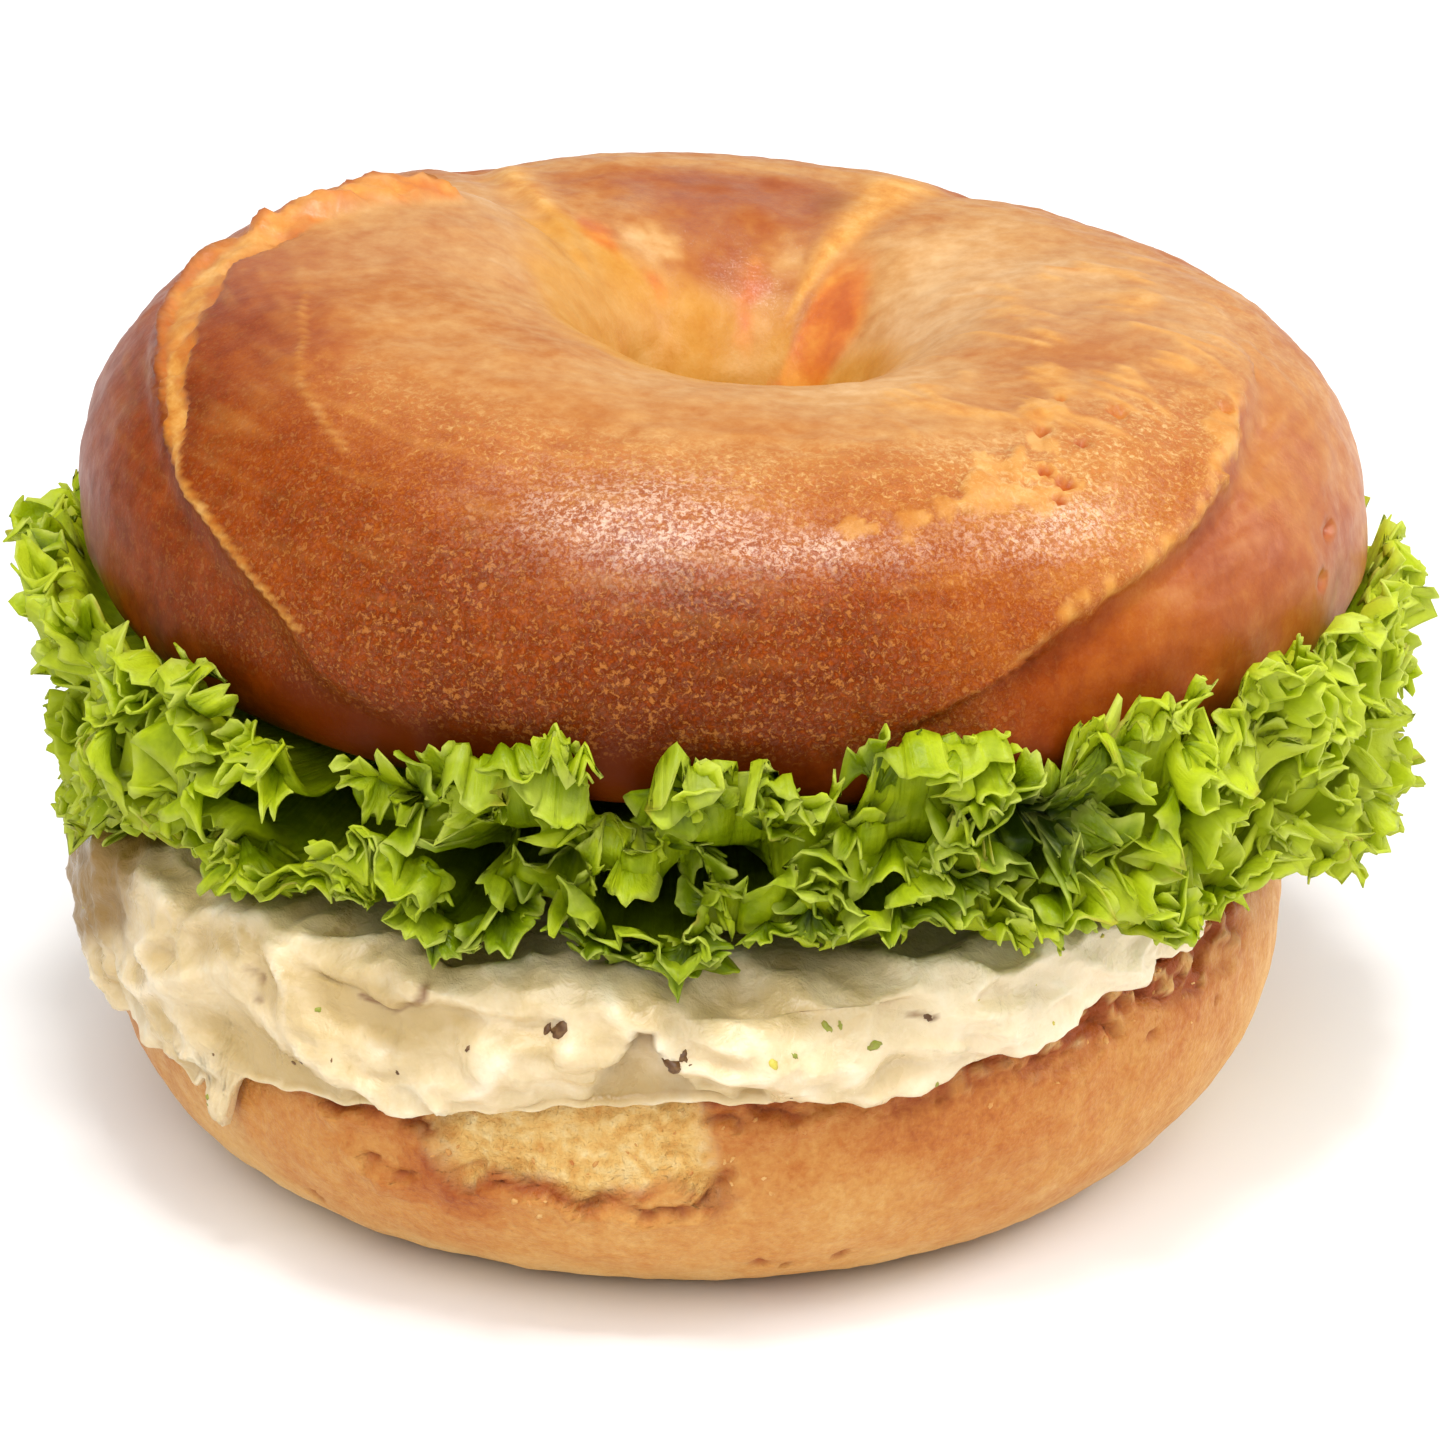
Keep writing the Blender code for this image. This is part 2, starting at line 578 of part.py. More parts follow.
def build():
    """Make the sandwich."""
    for old in list(bpy.data.objects):
        bpy.data.objects.remove(old)
    add_body("bagel_heel", ring_body(heel_grid(RING_STEPS, HEEL_SIDE_STEPS)), HEEL_LOOK)
    add_body("creamy_filling", capped_body(filling_grid(RING_STEPS)), FILLING_LOOK)
    for name, leaf in LEAVES.items():
        add_body(name, leaf_body(leaf, LEAF_COLUMNS, LEAF_ROWS), LEAF_LOOK)
    crown = crown_grid(CROWN_STEPS, CROWN_CRUST_STEPS, CROWN_FACE_STEPS)
    add_body("bagel_crown", ring_body(crown), CROWN_LOOK)


build()
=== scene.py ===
"""Looks of the bagel sandwich: fine crust, spread and lettuce over the solid parts.

Shapes are worked out in millimetres and written in metres. +Z is up and the front is -Y.
"""
import math

import bpy
import numpy as np
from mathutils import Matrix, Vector


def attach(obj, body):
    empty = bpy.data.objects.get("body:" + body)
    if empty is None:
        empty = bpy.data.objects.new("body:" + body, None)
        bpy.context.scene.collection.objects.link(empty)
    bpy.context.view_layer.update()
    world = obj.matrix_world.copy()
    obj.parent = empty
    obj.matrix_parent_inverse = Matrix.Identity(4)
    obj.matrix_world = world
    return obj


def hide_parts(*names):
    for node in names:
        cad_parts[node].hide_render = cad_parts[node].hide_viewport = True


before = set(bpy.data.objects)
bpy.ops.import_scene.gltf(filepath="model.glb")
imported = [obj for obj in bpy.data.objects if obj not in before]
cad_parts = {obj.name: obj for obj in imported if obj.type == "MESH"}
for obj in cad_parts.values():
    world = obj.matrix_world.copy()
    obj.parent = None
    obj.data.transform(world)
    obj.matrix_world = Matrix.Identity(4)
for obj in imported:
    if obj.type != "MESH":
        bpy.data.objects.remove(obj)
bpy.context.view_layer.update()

# Scale from the millimetres used below to metres, and where the middle of the outline lies
MM = 0.001
MIDDLE_X = 1.7
MIDDLE_Y = -0.8

# Steps of the fine meshes
CROWN_STEPS = 600
CROWN_ROWS = 132
CROWN_LOW_ROWS = 11
HEEL_STEPS = 520
HEEL_SIDE_ROWS = 84
FILLING_STEPS = 680
FILLING_ROWS = 60
LEAF_COLUMNS = 720
LOBE_COLUMNS = 36
LOBE_ROWS = 7

# Bagel crown, the top half
CROWN_CENTRE = (1.8, 0.5)
CROWN_CUT_Z = 46.5
CROWN_PITCH = math.radians(1)
CROWN_ROLL = math.radians(1)
CROWN_MID_RADIUS = 33.3
CROWN_OUT = 21.7
CROWN_IN = 23.8
CROWN_RISE = 17.5
CROWN_SIDE_RISE = 1.6
CROWN_LEVEL = 8
CROWN_EDGE = math.radians(70)

# Fullness of the crown's section: powers of how far it reaches out of or into the ring, 1 for an ellipse
OUTER_POWER = 0.95
LOWER_OUTER_POWER = 0.22
INNER_POWER = 0.62
INNER_POWER_FRONT = 0.1
INNER_POWER_BACK = 0.45
LOWER_INNER_POWER = 0.12
OUTER_RISE_POWER = 0.92
INNER_RISE_POWER = 0.85

# Folds of dough on the crown: the step and how far it fades from the line, depth in the hole, and widths
LEFT_STEP, LEFT_FADE = 2.2, 9
RIGHT_STEP, RIGHT_FADE = 1.8, 8
HOLE_LEFT_DEPTH, HOLE_RIGHT_DEPTH = 1.3, 1.2
HOLE_FOLD_WIDTH = 3
FOLD_HALF_WIDTH = 2

# Radii that turn angles round the ring and over its section into distances along the crust
CHART_ROUND = 38
CHART_OVER = 22

# Lines on the crown where one fold of dough meets another, as (theta, phi) in degrees
LEFT_FOLD = [
    (143, 84), (156, 72), (177, 59), (187, 50), (201, 39), (213, 26), (222, 17), (230, 8), (236, -6),
]
RIGHT_FOLD = [(343, 58), (334, 51), (324, 43), (314, 34), (305, 26), (297, 16)]
HOLE_LEFT_FOLD = [(123, 66), (126, 84), (132, 108), (150, 143), (160, 160)]
HOLE_RIGHT_FOLD = [(58, 62), (61, 82), (62, 111), (66, 140), (70, 156)]

# Bagel heel, the bottom half
HEEL_CENTRE = (-1.2, 0)
HEEL_BASE_RADIUS = 40.5
HEEL_WIDE_RADIUS = 53.6
HEEL_SIDE_INSET = 1.3
HEEL_RIM_RADIUS = 52
HEEL_WIDE_Z = 17
HEEL_WIDE_TILT = 1.5
HEEL_ROUND_POWER = 1.4
HEEL_HOLE_RADIUS = 9.5
HEEL_CUT_Z = 22.8
HEEL_CUT_SIDE_SLOPE = 4.5 / 53
HEEL_CUT_FRONT_SLOPE = 1 / 53

# Where the heel's crust is torn off at the front: its middle in degrees, half width, lowest edge and depth
TEAR_HEADING = -101
TEAR_HALF_WIDTH = 11.8
TEAR_LOW_Z = 14.5
TEAR_DEPTH = 1.2

# Creamy filling
FILLING_TOP_Z = 34
FILLING_TOP_SLOPE = 0.02
FILLING_GAP = 0.4
FILLING_RADIUS = 55.3
FILLING_SIDE_INSET = 1.2
FILLING_BACK_INSET = 0.4

# Where it hangs over the heel and where it stops short: heading in degrees, depth, half width in radians
FILLING_DRIPS = [(-150, 3, 0.35), (-178, 2.4, 0.3), (-120, 1.3, 0.25), (-72, 1.2, 0.22), (120, 1.2, 0.4)]
FILLING_HANG = 0.5
FILLING_DIP = (-28, 2.4, 0.5)

# Lettuce: half thickness, clearance, the sideways swing of a ruffle, and the border that follows the edge
LEAF_HALF_THICK = 0.2
LEAF_CLEAR = 1
LEAF_MEANDER = 0.78
LEAF_BORDER = 10
LEAF_OFFSET_X = 1.5

# The room that lettuce has outside the bagel's edge
LEAF_LOW_Z = 32
LEAF_LOW_LEFT = 3.5
LEAF_LOW_RIGHT = 3
LEAF_HIGH_Z = 52.5
LEAF_HIGH_FRONT = 5.2
LEAF_HIGH_BACK = 4
LEAF_HIGH_FROM = 51

# Each leaf: where it starts and ends round the ring in degrees, how far its inner edge lies from the middle
# towards it, half the length of that edge, its layer, its number of ruffles, its seed and its reach
LEAVES = {
    "lettuce_lower_front": dict(
        start=-187, end=7, seam=-8, side=42, layer=0, waves=12.6, seed=21, reach=59.3),
    "lettuce_lower_back": dict(
        start=13, end=166.5, seam=11, side=40, layer=0, waves=10.3, seed=22, reach=59),
    "lettuce_upper_right": dict(
        start=-122, end=69, seam=-6, side=42, layer=1, waves=12.2, seed=23, reach=60.5),
    "lettuce_upper_left": dict(
        start=76, end=231.5, seam=9, side=40, layer=1, waves=10.4, seed=24, reach=60),
}

# Frills of the leaves: length along the edge, height, how far they curl over, and where they begin
FRILLS = (7, 1.9, 0.5, 0.45)
CURLS = (3.3, 0.65, 0.3, 0.7)
TOOTH_HEIGHT = 3.6
TOOTH_ROOT = 1.9
TALL_TIPS = 4
LEAF_MOST_REACH = 61.7
LEAF_SHORT = 2.4
# Notches of the leaves' outline, and how much less it reaches behind the crown and low down on the left
NOTCH_DEPTH = 4.4
NOTCH_LENGTH = 8
BACK_INSET = 4.2
LEFT_SLOPE = 3
# Teeth along the upper and lower edges: degrees between them, and how far they stand out
TOOTH_SPACING = 3.2
JAGGED_TOP = 2.2
JAGGED_FOOT = 1.7
# How many lobes each leaf has
LOBES = 138

# Dark gaps between the frills at the front: degrees round the ring, height, half width and half height
BIG_POCKET = (-62, 45.8, 6, 4.2)
POCKETS = [
    (-103.5, 42.5, 3.4, 3.4), (-92.5, 43.5, 4.4, 3.6), BIG_POCKET, (-98.4, 47.4, 3.4, 3),
    (-79.3, 49.7, 2.6, 3.8), (-110, 44.2, 2.4, 3), (-85.8, 44.6, 2.4, 3), (-117, 48.6, 2.6, 3),
]
POCKET_DEPTH = 10
POCKET_SHADE = 0.85

# Upper and lower edge of the lettuce at the front: (degrees round the ring, height in millimetres)
HIGH_EDGE = [
    (-150, 56), (-136, 57), (-119, 54.5), (-113, 56.5), (-103, 53.5), (-96, 56), (-87, 55.5),
    (-84, 59.5), (-79, 57), (-68, 58), (-62, 61), (-56, 57), (-49, 58), (-25, 57),
]
LOW_EDGE = [
    (-150, 36), (-134, 35.5), (-127, 38.5), (-111, 36), (-104, 40), (-94, 35),
    (-84, 39.5), (-71, 40), (-62, 35), (-54, 32), (-38, 33.5), (-29, 31.5),
]

# Directions of the random slopes that noise is made of
SLOPES = np.array([
    (1, 1, 0), (-1, 1, 0), (1, -1, 0), (-1, -1, 0), (1, 0, 1), (-1, 0, 1),
    (1, 0, -1), (-1, 0, -1), (0, 1, 1), (0, -1, 1), (0, 1, -1), (0, -1, -1),
], dtype=float)


def smooth(low, high, value):
    """A soft step from 0 at low to 1 at high."""
    t = np.clip((value - low) / (high - low), 0, 1)
    return t * t * (3 - 2 * t)


def window(value, start, full, fading, end):
    """Rises softly from start to full and falls from fading to end."""
    return smooth(start, full, value) * smooth(end, fading, value)


def hump(value, middle, width):
    """A bell that is 1 at the middle."""
    return np.exp(-((value - middle) / width) ** 2)


def turn(theta, heading):
    """The angle from a heading in degrees to theta, between minus pi and pi."""
    return (theta - math.radians(heading) + np.pi) % (2 * np.pi) - np.pi


def near(theta, heading, width):
    """A bell round the ring that is 1 at a heading in degrees."""
    return hump(turn(theta, heading), 0, width)


def ring(steps):
    """Angles round a ring."""
    return np.linspace(0, 2 * np.pi, steps, endpoint=False)[:, None]


def ripple(theta, seed, low, high, size):
    """Gentle uneven variation round the ring."""
    rng = np.random.default_rng(seed)
    total = np.zeros_like(theta)
    for count in range(low, high + 1):
        strength = rng.uniform(0.5, 1)
        total = total + strength * np.sin(count * theta + rng.uniform(0, 2 * np.pi))
    return size * total / math.sqrt(high - low + 1)


def swell(x, y, seed, length, size):
    """Gentle uneven variation over a surface."""
    rng = np.random.default_rng(seed)
    total = np.zeros_like(x)
    for _ in range(6):
        heading, phase = rng.uniform(0, 2 * np.pi), rng.uniform(0, 2 * np.pi)
        pitch = 2 * np.pi / (length * rng.uniform(0.75, 1.4))
        total = total + np.sin(pitch * (x * math.cos(heading) + y * math.sin(heading)) + phase)
    return size * total / 2.5


def chance(ix, iy, iz, seed):
    """A random whole number for each cell of a lattice."""
    mixed = (ix * 73856093) ^ (iy * 19349663) ^ (iz * 83492791) ^ (seed * 265443576)
    mixed = mixed & 0xFFFFFFFF
    mixed = ((mixed ^ (mixed >> 13)) * 1274126177) & 0xFFFFFFFF
    mixed = ((mixed ^ (mixed >> 15)) * 951274213) & 0xFFFFFFFF
    return mixed ^ (mixed >> 16)


def noise(points, size, seed):
    """Smooth noise between about -1 and 1 with features about size across."""
    scaled = points / size
    cell = np.floor(scaled).astype(np.int64)
    inside = scaled - cell
    soft = inside ** 3 * (inside * (inside * 6 - 15) + 10)
    total = np.zeros(points.shape[:-1])
    for corner in range(8):
        step = (corner & 1, corner >> 1 & 1, corner >> 2)
        weight = np.ones(points.shape[:-1])
        for axis in range(3):
            weight = weight * (soft[..., axis] if step[axis] else 1 - soft[..., axis])
        pick = chance(*(cell[..., axis] + step[axis] for axis in range(3)), seed) % 12
        total = total + weight * np.sum(SLOPES[pick] * (inside - np.array(step)), axis=-1)
    return total


def layered(points, size, seed, layers):
    """Noise with finer and weaker noise over it."""
    return sum(
        0.5 ** layer * noise(points, size * 0.5 ** layer, seed + 17 * layer) for layer in range(layers))


def cells(points, size, seed):
    """For points scattered size apart: distances to the nearest and the next, and its random number."""
    scaled = points / size
    cell = np.floor(scaled).astype(np.int64)
    first = np.full(points.shape[:-1], 9.0)
    second = first.copy()
    name = np.zeros(points.shape[:-1])
    for corner in range(27):
        at = [cell[..., axis] + corner // 3 ** axis % 3 - 1 for axis in range(3)]
        place = [at[axis] + chance(*at, seed + axis) % 4096 / 4096 for axis in range(3)]
        away = np.sqrt(sum((place[axis] - scaled[..., axis]) ** 2 for axis in range(3)))
        closer = away < first
        second = np.where(closer, first, np.minimum(second, away))
        name = np.where(closer, chance(*at, seed + 3) % 4096 / 4096, name)
        first = np.where(closer, away, first)
    return first * size, second * size, name


def from_line(theta, height, line, radius, scale=1):
    """Signed distance in millimetres from a line of (degrees round the ring, height). Heights are multiplied
    by scale to give millimetres."""
    points = np.array(line)
    centre = points[:, 0].mean()
    across = turn(theta, centre) * radius
    along = height * scale
    line_x = (np.radians(points[:, 0]) - math.radians(centre)) * radius
    line_y = points[:, 1] * scale
    best = np.full(np.broadcast(across, along).shape, np.inf)
    signed = best
    for ax, ay, bx, by in zip(line_x[:-1], line_y[:-1], line_x[1:], line_y[1:]):
        length = math.hypot(bx - ax, by - ay)
        dx, dy = (bx - ax) / length, (by - ay) / length
        s = np.clip((across - ax) * dx + (along - ay) * dy, 0, length)
        away_x, away_y = across - ax - s * dx, along - ay - s * dy
        away = np.hypot(away_x, away_y)
        signed = np.where(away < best, np.where(dx * away_y - dy * away_x >= 0, away, -away), signed)
        best = np.minimum(away, best)
    return signed


def from_fold(theta, phi, line):
    """Signed distance in millimetres on the crown from a line of (theta, phi) points in degrees."""
    return from_line(theta, np.degrees(phi), line, CHART_ROUND, math.radians(CHART_OVER))


def crown_relief(theta, phi):
    """How far the folds of dough raise or lower the crust."""
    left = from_fold(theta, phi, LEFT_FOLD)
    right = from_fold(theta, phi, RIGHT_FOLD)
    left_step = smooth(-FOLD_HALF_WIDTH, FOLD_HALF_WIDTH, left) - 0.4
    left_step = left_step * smooth(-64, -48, np.degrees(turn(theta, 200)))
    right_step = smooth(-FOLD_HALF_WIDTH, FOLD_HALF_WIDTH, right) - 0.5
    right_step = right_step * smooth(54, 40, np.degrees(turn(theta, 300)))
    relief = LEFT_STEP * left_step * np.exp(-np.abs(left) / LEFT_FADE)
    relief = relief - RIGHT_STEP * right_step * np.exp(-np.abs(right) / RIGHT_FADE)
    for line, depth in ((HOLE_LEFT_FOLD, HOLE_LEFT_DEPTH), (HOLE_RIGHT_FOLD, HOLE_RIGHT_DEPTH)):
        shallow = smooth(146, 108, np.degrees(phi))
        relief = relief - depth * shallow * hump(from_fold(theta, phi, line), 0, HOLE_FOLD_WIDTH)
    return relief


def crown_ring(theta, phi):
    """The crown's crust before it is set down: phi is 0 outermost, 90 degrees on top and 180 innermost."""
    left, front = -np.cos(theta), -np.sin(theta)
    out = CROWN_OUT + 0.45 * left + ripple(theta, 3, 2, 6, 0.35)
    level = CROWN_LEVEL + CROWN_SIDE_RISE * left
    rise = CROWN_RISE + 0.7 * left + CROWN_SIDE_RISE * left ** 2 + ripple(theta, 4, 2, 6, 0.35)
    inner_power = INNER_POWER + np.where(front > 0, INNER_POWER_FRONT, INNER_POWER_BACK) * front ** 2
    cosine, sine = np.cos(phi), np.sin(phi)
    reach = np.abs(cosine)
    upper, outer = sine >= 0, cosine >= 0
    out_reach = out * np.where(upper, reach ** OUTER_POWER, reach ** LOWER_OUTER_POWER)
    in_reach = CROWN_IN * np.where(upper, reach ** inner_power, reach ** LOWER_INNER_POWER)
    rho = CROWN_MID_RADIUS + np.where(outer, out_reach, -in_reach)
    rise_power = np.where(outer, OUTER_RISE_POWER, INNER_RISE_POWER)
    below = level * (1 - np.abs(sine) / math.sin(CROWN_EDGE))
    z = np.where(upper, level + rise * np.abs(sine) ** rise_power, below)
    relief = crown_relief(theta, phi) * smooth(-0.5, 0.1, sine)
    rho = rho + relief * cosine
    z = np.maximum(z + relief * np.maximum(sine, 0), 0)
    return rho * np.cos(theta), rho * np.sin(theta), z


def tipped(first, second, angle):
    """Two coordinates turned in their plane."""
    cosine, sine = math.cos(angle), math.sin(angle)
    return first * cosine + second * sine, second * cosine - first * sine


def set_crown(x, y, z):
    """Tip the crown slightly and lift it onto the lettuce."""
    y, z = tipped(y, z, CROWN_PITCH)
    x, z = tipped(x, z, CROWN_ROLL)
    return x + CROWN_CENTRE[0], y + CROWN_CENTRE[1], z + CROWN_CUT_Z


def crown_cut(x, y):
    """Height of the crown's cut face."""
    slope_y, slope_x = math.sin(CROWN_PITCH), math.sin(CROWN_ROLL)
    return CROWN_CUT_Z - (y - CROWN_CENTRE[1]) * slope_y - (x - CROWN_CENTRE[0]) * slope_x


def from_heel(radius, theta):
    """Places at a radius from the middle of the heel."""
    return radius * np.cos(theta) + HEEL_CENTRE[0], radius * np.sin(theta) + HEEL_CENTRE[1]


def heel_cut(x, y):
    """Height of the heel's cut face, higher on the right and at the front."""
    return HEEL_CUT_Z + HEEL_CUT_SIDE_SLOPE * x - HEEL_CUT_FRONT_SLOPE * y


def heel_side(theta, z):
    """Radius of the heel's crust at a height, measured from the middle of the heel."""
    wide = HEEL_WIDE_RADIUS - HEEL_SIDE_INSET * np.cos(theta) ** 2 + ripple(theta, 5, 2, 5, 0.35)
    base = HEEL_BASE_RADIUS + ripple(theta, 6, 2, 5, 0.8)
    level = HEEL_WIDE_Z + HEEL_WIDE_TILT * np.cos(theta)
    below = np.clip((level - z) / level, 0, 1)
    above = np.clip((z - level) / 8, 0, 1.3)
    return base + (wide - base) * np.sqrt(1 - below ** 2) ** HEEL_ROUND_POWER - 1.6 * above ** 2


def heel_tear(theta, z):
    """How much of the crust is torn off at the front, from 0 to 1, where the crumb shows."""
    across = turn(theta, TEAR_HEADING) * HEEL_RIM_RADIUS
    ragged = 2.2 * np.sin(across * 0.55 + 0.6) + 1.4 * np.sin(across * 1.3 + z * 0.4)
    beside = np.abs(across + 0.3 * (z - 19)) + ragged * 0.4
    inside = smooth(TEAR_HALF_WIDTH + 1.8, TEAR_HALF_WIDTH - 1.8, beside)
    return inside * smooth(TEAR_LOW_Z - 0.9, TEAR_LOW_Z + 0.9, z + ragged * 0.5)


def filling_drop(theta):
    """How far the filling hangs down over the crust of the heel."""
    heading, _, width = FILLING_DIP
    drop = FILLING_HANG * (1 - near(theta, heading, width))
    for heading, depth, width in FILLING_DRIPS:
        drop = drop + depth * near(theta, heading, width)
    return drop


def filling_radius(theta):
    """Radius of the filling's bulging edge, measured from the middle of the heel."""
    heading, depth, width = FILLING_DIP
    radius = FILLING_RADIUS - FILLING_SIDE_INSET * np.cos(theta) ** 2 + ripple(theta, 8, 3, 9, 0.4)
    radius = radius - depth * near(theta, heading, width)
    return radius + 0.1 * filling_drop(theta) - FILLING_BACK_INSET * smooth(0, 1, np.sin(theta))


def filling_top(x, y):
    """Height of the filling's upper face away from its edge."""
    return FILLING_TOP_Z + FILLING_TOP_SLOPE * x + swell(x, y, 9, 30, 0.5)


def leaf_floor(x, y):
    """Lowest place for lettuce: on the filling, and outside its edge a little way down in front of it."""
    from_x, from_y = x - HEEL_CENTRE[0], y - HEEL_CENTRE[1]
    theta = np.arctan2(from_y, from_x)
    low = LEAF_LOW_Z - LEAF_LOW_LEFT * near(theta, 180, 0.9) - LEAF_LOW_RIGHT * near(theta, 0, 0.8)
    low = low + ripple(theta, 31, 3, 8, 0.9)
    top = filling_top(x, y) + LEAF_CLEAR
    share = np.clip((np.hypot(from_x, from_y) - filling_radius(theta) + 5) / 6.6, 0, 1)
    return top - (top - low) * share ** 3


def leaf_ceiling(x, y):
    """Highest place for lettuce: under the crown, and outside its edge a little way up in front of it."""
    from_x, from_y = x - CROWN_CENTRE[0], y - CROWN_CENTRE[1]
    theta = np.arctan2(from_y, from_x)
    high = LEAF_HIGH_Z + LEAF_HIGH_FRONT * near(theta, -80, 0.8)
    high = high - LEAF_HIGH_BACK * smooth(0.05, 0.5, np.sin(theta)) + ripple(theta, 32, 3, 8, 1.1)
    under = crown_cut(x, y) - LEAF_CLEAR
    share = np.clip((np.hypot(from_x, from_y) - LEAF_HIGH_FROM) / 6.2, 0, 1)
    return under + (high - under) * share ** 3.2


def leaf_between(x, y):
    """The wandering surface between the lower and the upper leaves."""
    outside = smooth(40, 60, np.hypot(x, y))
    wander = swell(x, y, 33, 26, 0.8) + ripple(np.arctan2(y, x), 34, 3, 9, 1) * outside
    return 0.5 * (leaf_floor(x, y) + leaf_ceiling(x, y)) + wander


def leaf_plan(leaf, u, t):
    """The leaf laid flat: u runs along its ruffled edge and t from its inner edge out to that one."""
    theta = np.radians(leaf["start"] + (leaf["end"] - leaf["start"]) * u)
    heading = math.radians(0.5 * (leaf["start"] + leaf["end"]))
    reach = leaf["reach"] + ripple(theta, leaf["seed"], 3, 10, 1.1) + 1.2 * np.cos(theta) ** 2
    reach = reach - 2.5 * smooth(0.15, 0.8, np.sin(theta))
    across = leaf["side"] * (2 * u - 1)
    seam = leaf["seam"] - 0.4 + 0.7 * np.sin(0.45 * across + leaf["seed"]) + 0.35 * np.sin(1.3 * across)
    in_x = seam * math.cos(heading) - across * math.sin(heading)
    in_y = seam * math.sin(heading) + across * math.cos(heading)
    inset = LEAF_BORDER * np.clip(2 - 2 * t, 0, 1)
    border_x = (reach - inset) * np.cos(theta) + LEAF_OFFSET_X
    border_y = (reach - inset) * np.sin(theta)
    share = np.minimum(2 * t, 1)
    return in_x + (border_x - in_x) * share, in_y + (border_y - in_y) * share, theta


def leaf_sheet(leaf, u, t):
    """The leaf's middle surface, ruffled between its floor and its ceiling."""
    x, y, theta = leaf_plan(leaf, u, t)
    rng = np.random.default_rng(leaf["seed"] + 100)
    phase = 2 * np.pi * leaf["waves"] * u
    for count in range(1, 7):
        size = rng.uniform(0.8, 1.6) / count
        phase = phase + size * np.sin(2 * np.pi * count * u + rng.uniform(0, 2 * np.pi))
    strength = 0.82 + 0.18 * np.sin(2 * np.pi * 3.3 * u + rng.uniform(0, 2 * np.pi))
    strength = strength * (0.92 + 0.08 * np.sin(2 * np.pi * 7.7 * u + rng.uniform(0, 2 * np.pi)))
    ends = window(u, 0, 0.05, 0.95, 1)
    rim = smooth(0.1, 0.8, t)
    spacing = np.hypot(np.gradient(x, axis=0), np.gradient(y, axis=0)) / np.gradient(phase, axis=0)
    meander = -LEAF_MEANDER * ends * rim * spacing * np.sin(2 * phase)
    x = x - meander * np.sin(theta)
    y = y + meander * np.cos(theta)
    inner = np.clip(swell(x, y, leaf["seed"] + 200, 21, 0.75), -1, 1)
    wave = inner * (1 - rim) + strength * np.sin(phase + 0.6 * (1 - t)) * rim
    wave = wave * (0.3 + 0.7 * ends)
    between = leaf_between(x, y)
    if leaf["layer"] == 0:
        low, high = leaf_floor(x, y), between - LEAF_CLEAR
    else:
        low, high = between + LEAF_CLEAR, leaf_ceiling(x, y)
    return x, y, low + (high - low) * (0.5 + 0.5 * wave)


def unit(vectors):
    """Vectors scaled to a length of 1."""
    return vectors / np.maximum(np.linalg.norm(vectors, axis=-1, keepdims=True), 1e-9)


def differences(points, axis, wrap):
    """Central differences along a direction of a grid, which may go round."""
    if wrap:
        return np.roll(points, -1, axis) - np.roll(points, 1, axis)
    return np.gradient(points, axis=axis)


def grid_normals(points, wrap_rows):
    """Directions out of a grid of points that goes round in its first direction."""
    return unit(np.cross(differences(points, 0, True), differences(points, 1, wrap_rows)))


def grid_faces(columns, rows, wrap_columns, wrap_rows):
    """Four-cornered faces of a grid."""
    i = np.arange(columns if wrap_columns else columns - 1)[:, None]
    j = np.arange(rows if wrap_rows else rows - 1)[None, :]
    after_i, after_j = (i + 1) % columns, (j + 1) % rows
    corners = [i * rows + j, after_i * rows + j, after_i * rows + after_j, i * rows + after_j]
    return np.stack(np.broadcast_arrays(*corners), axis=-1).reshape(-1, 4)


def add(name, data):
    """A new object in the scene."""
    made = bpy.data.objects.new(name, data)
    bpy.context.scene.collection.objects.link(made)
    return made


def add_piece(name, points, faces, marks, look, node):
    """A piece from points in millimetres, lists of faces by their corners, named numbers on the points and a
    look. It stands for a node or is only an addition to one."""
    mesh = bpy.data.meshes.new(name)
    moved = (points.reshape(-1, 3) - np.array([MIDDLE_X, MIDDLE_Y, 0])) * MM
    mesh.vertices.add(len(moved))
    mesh.vertices.foreach_set("co", moved.astype(np.float32).ravel())
    corners = np.concatenate([part.ravel() for part in faces])
    counts = np.concatenate([np.full(len(part), part.shape[1]) for part in faces])
    mesh.loops.add(len(corners))
    mesh.loops.foreach_set("vertex_index", corners.astype(np.int32))
    mesh.polygons.add(len(counts))
    mesh.polygons.foreach_set("loop_start", (np.cumsum(counts) - counts).astype(np.int32))
    mesh.update(calc_edges=True)
    mesh.shade_smooth()
    for mark, values in marks.items():
        layer = mesh.attributes.new(mark, "FLOAT", "POINT")
        layer.data.foreach_set("value", np.asarray(values, dtype=np.float32).ravel())
    mesh.materials.append(look)
    piece = add(name, mesh)
    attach(piece, "root")
    if node:
        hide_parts(node)


def colour(shade):
    """A linear colour from one given in screen values from 0 to 255."""
    linear = [((value / 255 + 0.055) / 1.055) ** 2.4 if value > 10 else value / 3294.6 for value in shade]
    return (*linear, 1)


